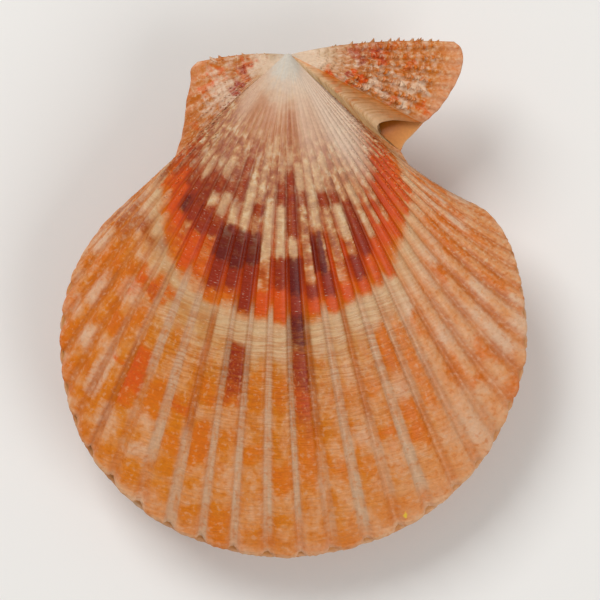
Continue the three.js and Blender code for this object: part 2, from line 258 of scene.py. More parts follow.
def notchColumns(isRight):
    at, _ = marginCurve(notchMargin if isRight else closedEarMargin)
    depth = growthRule["troughDepth"] if isRight else 0
    columns = []
    for share in np.arange(fineness["notchSteps"]) / fineness["notchSteps"]:
        edge = blendTo(growthRule["fanEdge"], growthRule["earThickness"], smooth(share, 0, 0.35))
        start = blendTo(frontFlank["start"], earStart, share)
        lift = -depth * math.sin(math.pi * share)
        columns.append(makeColumn(at(share), start, edge=edge, rib=share, lift=lift, part="trough"))
    return columns


def valveColumns(isRight):
    hindEar = earColumns(hindEarMargin, "hindEar", growthRule["hindEarRiblet"])[:-1]
    frontEar = earColumns(frontEarMargin, "frontEar", growthRule["frontEarRiblet"])
    fold = 2 / fineness["earSteps"]
    for i, column in enumerate(hindEar):
        column["bow"] = growthRule["hindFold"] * 0.5 ** (i * fold)
        column["lift"] *= 1 - smooth(i, len(hindEar) - fineness["earSteps"], len(hindEar) - 2)
    for i, column in enumerate(reversed(frontEar)):
        column["bow"] = growthRule["frontFold"] * 0.5 ** (i * fold)
    return hindEar + fanColumns(isRight) + notchColumns(isRight) + frontEar


# How large the shell was, as a share of its full size, at a turn of growth in radians
def shareOf(turn):
    return np.exp(-growthRule["spiralRate"] * turn) * np.cos(turn)


def shareAt(degrees):
    return float(shareOf(math.radians(degrees)))


# Turns of growth whose rows fall on the lips of the lamellae, with a second row just outside each lip
def growthRows(seed):
    rng = random.Random(seed)
    turns = np.linspace(0, 90, fineness["turnPlaces"])
    shrink = np.exp(-growthRule["spiralRate"] * np.radians(turns))
    flat = growthRule["fanReach"] * shrink * np.cos(np.radians(turns))
    high = growthRule["fanReach"] * shrink * np.sin(np.radians(turns))
    along = np.concatenate([[0], np.cumsum(np.hypot(np.diff(flat), np.diff(high)))])
    rows = [(0.0, fineness["marginLip"])]
    here = 0.0
    while here < along[-1] - fineness["beakLength"]:
        here += rng.choice(fineness["lamellaSizes"]) * fineness["lamellaPitch"]
        rows.append((here - fineness["lamellaStep"], 0.0))
        rows.append((here, rng.choice(fineness["lipHeights"])))
    rows += [(blendTo(here, along[-1], extra), 0.0) for extra in fineness["beakRows"]]
    turnAt = [float(np.interp(place, along, turns)) for place, _ in rows] + [90.0]
    return turnAt, [lip for _, lip in rows] + [0.0]


# The coarser lamellae of the ears: each swells towards its lip and drops beyond it; growth in mm
earLamellae = {
    "hindPitch": 0.55, "hindHeight": 0.6, "frontPitch": 1.05, "frontHeight": 3.4, "stagger": 0.5,
    "sharpness": 1.6, "endFrom": 0.84, "endTo": 0.9,
}


def earSwelling(growth, rib, crest, isFront):
    pitch = np.where(isFront, earLamellae["frontPitch"], earLamellae["hindPitch"])
    phase = growth / pitch + np.sin(np.floor(rib) * 12.9 + 3) * earLamellae["stagger"] * crest
    return (phase - np.floor(phase)) ** earLamellae["sharpness"] * (0.25 + 0.75 * crest)


# An output in a node tree, so that the maths of a tree reads as plain sums
class Wire:
    def __init__(self, tree, socket):
        self.tree = tree
        self.socket = socket

    def output(self, label):
        return Wire(self.tree, pick(self.socket.node.outputs, label))

    def __add__(self, other):
        return calc("ADD", self, other)

    def __sub__(self, other):
        return calc("SUBTRACT", self, other)

    def __rsub__(self, other):
        return calc("SUBTRACT", other, self)

    def __mul__(self, other):
        return calc("MULTIPLY", self, other)

    def __truediv__(self, other):
        return calc("DIVIDE", self, other)

    def __pow__(self, other):
        return calc("POWER", self, other)


# A socket by its place, or by its name among those in use
def pick(sockets, label):
    if isinstance(label, int):
        return sockets[label]
    return next(socket for socket in sockets if socket.name == label and socket.enabled)


def link(source, target):
    if isinstance(source, Wire):
        source.tree.links.new(source.socket, target)
    else:
        target.default_value = source


def addNode(tree, kind, values=None, output=0, **settings):
    node = tree.nodes.new(kind)
    for key, setting in settings.items():
        setattr(node, key, setting)
    for label, value in (values or {}).items():
        link(value, pick(node.inputs, label))
    return Wire(tree, pick(node.outputs, output))


def calc(operation, *values):
    tree = next(value.tree for value in values if isinstance(value, Wire))
    return addNode(tree, "ShaderNodeMath", dict(enumerate(values)), operation=operation)


# A tree with named inputs and outputs: returns it, a wire for each input and the node that takes the outputs
def newTree(name, kind, inputs, outputs):
    tree = bpy.data.node_groups.new(name, kind)
    kinds = {"Geometry": "NodeSocketGeometry", "Finish": "NodeSocketMaterial", "Seed": "NodeSocketInt"}
    for side, labels in (("INPUT", inputs), ("OUTPUT", outputs)):
        for label in labels:
            socketType = kinds.get(label, "NodeSocketFloat")
            socket = tree.interface.new_socket(label, in_out=side, socket_type=socketType)
            if side == "INPUT" and inputs[label] is not None:
                socket.default_value = inputs[label]
    into = tree.nodes.new("NodeGroupInput")
    given = {label: Wire(tree, into.outputs[label]) for label in inputs}
    return tree, given, tree.nodes.new("NodeGroupOutput")


def named(tree, name, kind="FLOAT"):
    return addNode(tree, "GeometryNodeInputNamedAttribute", {"Name": name}, "Attribute", data_type=kind)


def makePlace(tree, x, y, z):
    return addNode(tree, "ShaderNodeCombineXYZ", {0: x, 1: y, 2: z})


# Ends a geometry tree: instances made real, and the material set
def finishTree(tree, geometry, material, out):
    real = addNode(tree, "GeometryNodeRealizeInstances", {0: geometry})
    link(addNode(tree, "GeometryNodeSetMaterial", {"Geometry": real, "Material": material}), out.inputs[0])
    return tree


# Runs a mesh through a geometry tree and returns the plain mesh that comes out
def grownMesh(name, mesh, tree, values):
    carrier = bpy.data.objects.new(name, mesh)
    bpy.context.scene.collection.objects.link(carrier)
    modifier = carrier.modifiers.new(name, "NODES")
    modifier.node_group = tree
    for item in tree.interface.items_tree:
        if item.in_out == "INPUT" and item.name in values:
            modifier[item.identifier] = values[item.name]
    bpy.context.view_layer.update()
    grown = bpy.data.meshes.new_from_object(carrier.evaluated_get(bpy.context.evaluated_depsgraph_get()))
    carrier.modifiers.clear()
    bpy.data.objects.remove(carrier)
    bpy.data.meshes.remove(mesh)
    return grown


# Turns a flat table of columns and turns into the outside of a valve
def growValveTree():
    tree, given, out = newTree("growValve", "GeometryNodeTree", {
        "Geometry": None, "Spiral Rate": 2.05, "Beak Width": 0.3, "Margin Sharpness": 3.0,
        "Seam Height": 0.0001, "Beak Thickness": 0.001, "Rib Scale": 1.0, "Steepest Rib": 0.5,
        "Worn Share": 0.36, "Lamella Height": 0.00006, "Unevenness": 0.00005, "Seed": 3, "Finish": None,
    }, ["Geometry"])
    turn, start = named(tree, "turn"), named(tree, "start")
    spread = calc("EXPONENT", turn * given["Spiral Rate"] * -1)
    cosTurn = calc("COSINE", turn)
    sinTurn = calc("SINE", turn)
    share = spread * cosTurn
    early = 1 - share
    grown = calc("MAXIMUM", share, 0) ** given["Margin Sharpness"]
    angle = start + (named(tree, "angle") - start) * grown - named(tree, "drift") * early
    reach = named(tree, "distance") * share
    arc = calc("SQRT", cosTurn ** 2 + (given["Beak Width"] * sinTurn) ** 2)
    x = reach * calc("SINE", angle) + (arc - cosTurn) * spread * named(tree, "side")
    y = named(tree, "bow") * share * early * (4 - share * 1.2) - reach * calc("COSINE", angle)
    thick = given["Beak Thickness"]
    base = thick + (named(tree, "edge") - thick) * share ** 2 + given["Seam Height"]
    z = base + named(tree, "reach") * spread * sinTurn
    place = makePlace(tree, x, y, z)
    grow = addNode(tree, "GeometryNodeSetPosition", {"Geometry": given["Geometry"], "Position": place})

    noise = addNode(tree, "ShaderNodeTexNoise", {"W": given["Seed"] * 3.7, "Scale": 900, "Detail": 2},
                    noise_dimensions="4D")
    worn = calc("MINIMUM", share / given["Worn Share"], 1)
    lift = named(tree, "lift") * share * given["Rib Scale"] * worn ** 2 * named(tree, "softer")
    room = named(tree, "room") * given["Steepest Rib"]
    lift = calc("MAXIMUM", calc("MINIMUM", lift, room), room * -1)
    lamella = named(tree, "lamella") * given["Lamella Height"] * (noise * 0.9 + 0.55)
    height = lift + lamella + (noise - 0.5) * given["Unevenness"]
    normal = addNode(tree, "GeometryNodeInputNormal")
    push = addNode(tree, "ShaderNodeVectorMath", {0: normal, "Scale": height}, operation="SCALE")
    relief = addNode(tree, "GeometryNodeSetPosition", {"Geometry": grow, "Offset": push})
    return finishTree(tree, relief, given["Finish"], out)


def columnValues(columns, key, factor=1.0):
    return np.array([column[key] for column in columns]) * factor


def putAttributes(mesh, fields, kind="FLOAT"):
    key = "value" if kind == "FLOAT" else "vector"
    for name, values in fields.items():
        layer = mesh.attributes.new(name, kind, "POINT")
        layer.data.foreach_set(key, np.asarray(values, np.float32).ravel())


# Joins two rows of (key, vertex) whose keys rise together
def strip(faces, lower, upper):
    i = j = 0
    while i < len(lower) - 1 or j < len(upper) - 1:
        nextLower = lower[i + 1][0] if i < len(lower) - 1 else math.inf
        nextUpper = upper[j + 1][0] if j < len(upper) - 1 else math.inf
        if nextLower == nextUpper:
            faces.append((lower[i][1], lower[i + 1][1], upper[j + 1][1], upper[j][1]))
            i += 1
            j += 1
        elif nextLower < nextUpper:
            faces.append((lower[i][1], lower[i + 1][1], upper[j][1]))
            i += 1
        else:
            faces.append((lower[i][1], upper[j + 1][1], upper[j][1]))
            j += 1


# A table of growth: one row for each turn, one place for each column that the row keeps
def growthTable(count, turns, every, halfBelow):
    rows = []
    vertices = []
    faces = []
    for r, turn in enumerate(turns):
        step = every * (2 if shareAt(turn) < halfBelow else 1)
        kept = [i for i in range(count) if i % step == 0 or i == count - 1]
        rows.append([(i, len(vertices) + n) for n, i in enumerate(kept)])
        vertices += [(i, r) for i in kept]
    for lower, upper in zip(rows, rows[1:]):
        strip(faces, lower, upper)
    return rows, np.array(vertices), faces


valveLook = {
    "seed": 11, "wall": 1.2, "steepestWall": 0.12, "ribScale": 0.82, "lamellaHeight": 0.13,
    "unevenness": 0.06, "middleRib": 12, "columnsInRib": 8, "rimShade": 0.6,
}


# One side of a valve: the table of growth, and where growth puts each of its points
def growSheet(name, columns, turns, lips, every, halfBelow, relief, material):
    rows, vertices, faces = growthTable(len(columns), turns, every, halfBelow)
    col, row = vertices[:, 0], vertices[:, 1]
    turn = np.radians(np.array(turns))[row]
    share = shareOf(turn)
    mesh = bpy.data.meshes.new(name)
    mesh.from_pydata([(float(c) * mm, float(r) * mm, 0) for c, r in vertices], [], faces)
    px, py = columnValues(columns, "x", mm), columnValues(columns, "y", mm)
    angle = columnValues(columns, "angle")
    tilt = math.radians(growthRule["hingeTilt"])
    drift = smooth(angle, *growthRule["driftHind"]) * (1 - smooth(angle, *growthRule["driftFront"]))
    spacing = np.hypot(np.gradient(px), np.gradient(py)) * valveLook["columnsInRib"]
    part = np.array([column["part"] for column in columns])[col]
    isFront = part == "frontEar"
    isEar = (part == "hindEar") | isFront
    rib, crest = columnValues(columns, "rib")[col], columnValues(columns, "crest")[col]
    swelling = earSwelling(np.hypot(px, py)[col] / mm * share, rib, crest, isFront)
    swelling *= np.where(isFront, earLamellae["frontHeight"], earLamellae["hindHeight"])
    swelling *= 1 - 0.8 * smooth(share, earLamellae["endFrom"], earLamellae["endTo"])
    lamella = np.array(lips)[row] * (0.35 + 0.65 * crest) * (0.7 - 0.4 * smooth(share, 0.5, 0.6))
    away = np.abs(rib - valveLook["middleRib"])
    putAttributes(mesh, {
        "turn": turn, "start": np.radians(columnValues(columns, "start"))[col],
        "angle": np.radians(angle)[col], "drift": np.radians(growthRule["growthDrift"] * drift)[col],
        "distance": np.hypot(px, py)[col], "side": px[col],
        "bow": columnValues(columns, "bow", mm)[col], "edge": columnValues(columns, "edge", mm)[col],
        "reach": np.maximum(0, px * math.sin(tilt) - py * math.cos(tilt))[col],
        "lift": columnValues(columns, "lift", mm)[col], "room": spacing[col] * np.maximum(share, 0.02),
        "lamella": np.where(isEar, swelling, lamella) * smooth(share, 0.1, 0.24),
        "softer": 1 - (0.3 + 0.1 * smooth(away, 4, 9)) * smooth(share, 0.5, 0.7) * ~isEar,
    })
    grown = grownMesh(name, mesh, growValve, {
        "Spiral Rate": growthRule["spiralRate"], "Beak Width": growthRule["beakWidth"],
        "Margin Sharpness": float(growthRule["marginSharpness"]),
        "Seam Height": growthRule["seamGap"] / 2 * mm,
        "Beak Thickness": (growthRule["earThickness"] + growthRule["beakThickening"]) * mm,
        "Rib Scale": valveLook["ribScale"] * relief, "Steepest Rib": growthRule["steepestRib"],
        "Lamella Height": valveLook["lamellaHeight"] * mm * relief,
        "Unevenness": valveLook["unevenness"] * mm * relief, "Finish": material,
    })
    place = np.zeros(len(grown.vertices) * 3)
    grown.vertices.foreach_get("co", place)
    normal = np.zeros(len(grown.vertices) * 3)
    grown.vertex_normals.foreach_get("vector", normal)
    bpy.data.meshes.remove(grown)
    return rows, col, row, faces, place.reshape(-1, 3), normal.reshape(-1, 3)


# One closed valve: lamellate outside, thin margin, smooth inside
def makeValve(name, isRight, material):
    columns = valveColumns(isRight)
    turns, lips = growthRows(valveLook["seed"] + isRight)
    rows, col, row, faces, outer, outerNormal = growSheet(
        name + "Outside", columns, turns, lips, 1, fineness["halfColumnsBelow"], True, material)
    evenly = np.linspace(0, 1, fineness["innerRows"] + 1)[1:]
    innerTurns = [fineness["innerFirstTurn"], *(90 * evenly ** fineness["innerCrowding"])]
    noLips = [0.0] * len(innerTurns)
    innerRows, innerCol, innerRow, innerFaces, inner, innerNormal = growSheet(
        name + "Inside", columns, innerTurns, noLips, fineness["innerEvery"], 0, False, material)
    lump = gritShare(outer[:, 0] / mm, outer[:, 1] / mm, isRight) * grit["height"] * mm
    outer += outerNormal * lump[:, None]
    seam = growthRule["seamGap"] / 2 * mm
    upright = np.maximum(np.abs(innerNormal[:, 2]), valveLook["steepestWall"])
    inner[:, 2] = np.maximum(seam, inner[:, 2] - valveLook["wall"] * mm / upright)
    inner[innerRow == 0, 2] = seam

    rimTop = rows[0]
    rim = outer[[v for _, v in rimTop]].copy()
    rim[:, 2] = seam + columnValues(columns, "wave", mm)
    rimBottom = [(i, len(outer) + n) for n, (i, _) in enumerate(rimTop)]
    shift = len(outer) + len(rim)
    innerRows = [[(i, v + shift) for i, v in line] for line in innerRows]
    faces += [tuple(v + shift for v in face) for face in innerFaces]
    strip(faces, rimTop, rimBottom)
    strip(faces, rimBottom, innerRows[0])
    for end in (0, -1):
        outerSide = [(turns[r], line[end][1]) for r, line in enumerate(rows)]
        innerSide = [(innerTurns[r], line[end][1]) for r, line in enumerate(innerRows)]
        strip(faces, outerSide, innerSide)
        faces.append((rimTop[end][1], rimBottom[end][1], innerRows[0][end][1]))
    strip(faces, rows[-1], innerRows[-1])

    rimShade = valveLook["rimShade"]
    mesh = bpy.data.meshes.new(name)
    mesh.from_pydata(np.vstack([outer, rim, inner]).tolist(), [], faces)
    paint(mesh, columns, isRight, {
        "column": np.concatenate([col, [i for i, _ in rimTop], innerCol]),
        "turn": np.concatenate([np.array(turns)[row], np.zeros(len(rim)), np.array(innerTurns)[innerRow]]),
        "outside": np.concatenate([np.ones(len(outer)), np.full(len(rim), rimShade), np.zeros(len(inner))]),
    })
    work = bmesh.new()
    work.from_mesh(mesh)
    bmesh.ops.remove_doubles(work, verts=work.verts, dist=fineness["mergeDistance"])
    bmesh.ops.recalc_face_normals(work, faces=work.faces)
    if work.calc_volume(signed=True) < 0:
        bmesh.ops.reverse_faces(work, faces=work.faces)
    work.to_mesh(mesh)
    work.free()
    mesh.materials.append(material)
    valve = bpy.data.objects.new(name, mesh)
    scales = makeScales(name + "Scales", columns, rows, turns, lips, outer, outerNormal, material, isRight)
    for piece in (valve, scales):
        piece.data.shade_smooth()
        bpy.context.scene.collection.objects.link(piece)
    return [valve, scales]


# Small hollow scales that stand on the lips of the lamellae of the side ribs and the ears
scaleLook = {
    "Width": 0.32, "Length": 0.4, "Height": 0.13, "Thickness": 0.05, "Arch": 0.05,
    "seed": 4, "missing": 0.3, "stray": 0.12, "smallest": 0.22, "fullWidth": 0.42,
    "shapes": {"frontEar": (2.1, 1.5), "hindEar": (1.5, 1)},
    "hindEdgeTall": 1.6, "frontEdgeTall": 2.7, "edgeWide": 1.7, "edgeShares": (0.22, 0.9),
    "edgeGap": (0.55, 1.2), "edgeSize": (1.1, 1.6), "edgePlace": (0, -0.07, -0.25),
    "edgeFacing": (0, 1, 0.35), "earRise": (0.2, 0.4), "earEnd": (0.8, 0.9), "earSize": 0.85,
    "mainRibs": (-0.5, 27.5), "frontRibs": (18.5, 23), "frontRise": (0.22, 0.3), "frontFade": (0.45, 0.62),
    "hindRibs": (1, 6), "hindRise": (0.2, 0.3), "hindFade": (0.45, 0.65),
}


def scaleTree():
    tree, given, out = newTree("shellScales", "GeometryNodeTree", {
        "Geometry": None, "Width": 0.0006, "Length": 0.0005, "Height": 0.0002, "Thickness": 0.00007,
        "Arch": 0.0001, "Seed": 4, "Finish": None,
    }, ["Geometry"])
    blank = addNode(tree, "GeometryNodeMeshCube", {"Vertices X": 4, "Vertices Y": 3, "Vertices Z": 2})
    across = addNode(tree, "ShaderNodeSeparateXYZ", {0: addNode(tree, "GeometryNodeInputPosition")})
    toTip = 0.5 - across.output(1)
    x = across * (1 - toTip ** 2 * 0.7) * given["Width"]
    y = (0.35 - toTip) * given["Length"]
    fall = (across * 2) ** 2 * given["Arch"] * (toTip * 0.6 + 0.4)
    z = (toTip ** 1.5 - 0.35) * given["Height"] - fall + across.output(2) * given["Thickness"]
    tip = addNode(tree, "GeometryNodeStoreNamedAttribute", {"Geometry": blank, "Name": "tip", "Value": toTip},
                  data_type="FLOAT", domain="POINT")
    shaped = addNode(tree, "GeometryNodeSetPosition", {"Geometry": tip, "Position": makePlace(tree, x, y, z)})

    facing, along = (named(tree, key, "FLOAT_VECTOR") for key in ("facing", "along"))
    upright = addNode(tree, "FunctionNodeAlignRotationToVector", {"Vector": facing}, axis="Z")
    headed = addNode(tree, "FunctionNodeAlignRotationToVector", {"Rotation": upright, "Vector": along},
                     axis="Y", pivot_axis="Z")
    chance = addNode(tree, "FunctionNodeRandomValue", {"Min": 0.5, "Max": 1.35, "Seed": given["Seed"]},
                     output="Value", data_type="FLOAT")
    size = chance * named(tree, "size")
    spread = makePlace(tree, size * named(tree, "wide"), size, size * named(tree, "tall"))
    put = addNode(tree, "GeometryNodeInstanceOnPoints",
                  {"Points": given["Geometry"], "Instance": shaped, "Rotation": headed, "Scale": spread})
    return finishTree(tree, put, given["Finish"], out)


# A grain of yellow grit near the margin: place from the umbo, radius and height in mm
grit = {"x": 14, "y": -54.9, "radius": 0.42, "height": 0.16}


def gritShare(x, y, isRight):
    away = np.hypot(x - grit["x"], y - grit["y"])
    return (1 - smooth(away, grit["radius"] * 0.5, grit["radius"] * 1.2)) * isRight


# How large the scales are on each part of the valve, as a share of full size
def scaleSize(column, share):
    look, rib = scaleLook, column["rib"]
    firstRib, lastRib = look["mainRibs"]
    if column["part"] == "hindEar" and rib > fineness["earRiblets"] - 1.2:
        return 0
    if column["part"] in ("hindEar", "frontEar"):
        size = look["earSize"] * smooth(share, *look["earRise"]) * (1 - 0.9 * smooth(share, *look["earEnd"]))
        return size * (0.7 if column["part"] == "hindEar" else 1)
    if column["part"] != "fan":
        return 0
    if rib > look["frontRibs"][0]:
        near = smooth(rib, *look["frontRibs"]) * (0.7 if rib > lastRib else 1)
        return near * smooth(share, *look["frontRise"]) * (1.05 - 0.7 * smooth(share, *look["frontFade"]))
    near = (1 - smooth(rib, *look["hindRibs"])) * (0.75 if rib < firstRib else 1)
    return near * smooth(share, *look["hindRise"]) * (0.95 - 0.6 * smooth(share, *look["hindFade"]))


def makeScales(name, columns, rows, turns, lips, outer, normals, material, isRight):
    rng = random.Random(scaleLook["seed"])
    spots = []
    crest = columnValues(columns, "crest")
    crests = [i for i in range(1, len(columns) - 1)
              if crest[i] > 0.95 and crest[i - 1] <= crest[i] > crest[i + 1]]
    lookup = [dict(row) for row in rows]

    # the vertex of a column on each lip, the way from it to the umbo and the share of growth there
    def lipsOf(i):
        for r in range(2, len(turns) - 6):
            vertex, earlier = lookup[r].get(i), lookup[r + 2].get(i)
            if vertex is not None and earlier is not None and lips[r] >= 0.5:
                direction = outer[earlier] - outer[vertex]
                yield vertex, direction / max(np.linalg.norm(direction), 1e-9), shareAt(turns[r]), turns[r]

    for i in crests:
        before, after = columns[i - 2], columns[i + 2]
        width = math.hypot(after["x"] - before["x"], after["y"] - before["y"])
        wide, tall = scaleLook["shapes"].get(columns[i]["part"], (1, 1))
        for vertex, direction, share, turn in lipsOf(i):
            size = scaleSize(columns[i], share) * min(1, width * share / scaleLook["fullWidth"])
            if size < scaleLook["smallest"] or rng.random() < scaleLook["missing"]:
                continue
            aside = np.cross(normals[vertex], direction)
            point = outer[vertex] + aside * rng.uniform(-1, 1) * scaleLook["stray"] * mm * size
            along = direction + aside * rng.uniform(-0.5, 0.5)
            spots.append((point, normals[vertex], along, size * rng.uniform(0.6, 1.25), wide, tall, i, turn))
    # the upper edges of the ears carry a row of scales that stand up along the hinge
    for i, tall in ((0, scaleLook["hindEdgeTall"]), (len(columns) - 1, scaleLook["frontEdgeTall"])):
        lastSpot, gap = math.inf, 0
        fromShare, toShare = scaleLook["edgeShares"]
        for vertex, direction, share, turn in lipsOf(i):
            spot = share * math.hypot(columns[i]["x"], columns[i]["y"])
            if not fromShare < share < toShare or lastSpot - spot < gap:
                continue
            lastSpot, gap = spot, rng.uniform(*scaleLook["edgeGap"])
            size = rng.uniform(*scaleLook["edgeSize"]) * (0.6 + 0.6 * smooth(share, 0.2, 0.5))
            size *= 1 - 0.5 * smooth(share, 0.8, 0.93)
            point = outer[vertex] + np.array(scaleLook["edgePlace"]) * mm
            wide, facing = scaleLook["edgeWide"], scaleLook["edgeFacing"]
            spots.append((point, facing, direction, size, wide, tall, i, turn))
    points, facing, along, sizes, wides, talls, cols, at = zip(*spots)
    mesh = bpy.data.meshes.new(name)
    mesh.from_pydata([tuple(p) for p in points], [], [])
    putAttributes(mesh, {"facing": facing, "along": along}, "FLOAT_VECTOR")
    putAttributes(mesh, {"size": sizes, "wide": wides, "tall": talls})
    pieces = {"column": np.array(cols), "turn": np.array(at), "outside": np.ones(len(at))}
    paint(mesh, columns, isRight, pieces)
    values = {label: scaleLook[label] * mm for label in ("Width", "Length", "Height", "Thickness", "Arch")}
    values.update({"Seed": scaleLook["seed"], "Finish": material})
    return bpy.data.objects.new(name, grownMesh(name, mesh, shellScales, values))


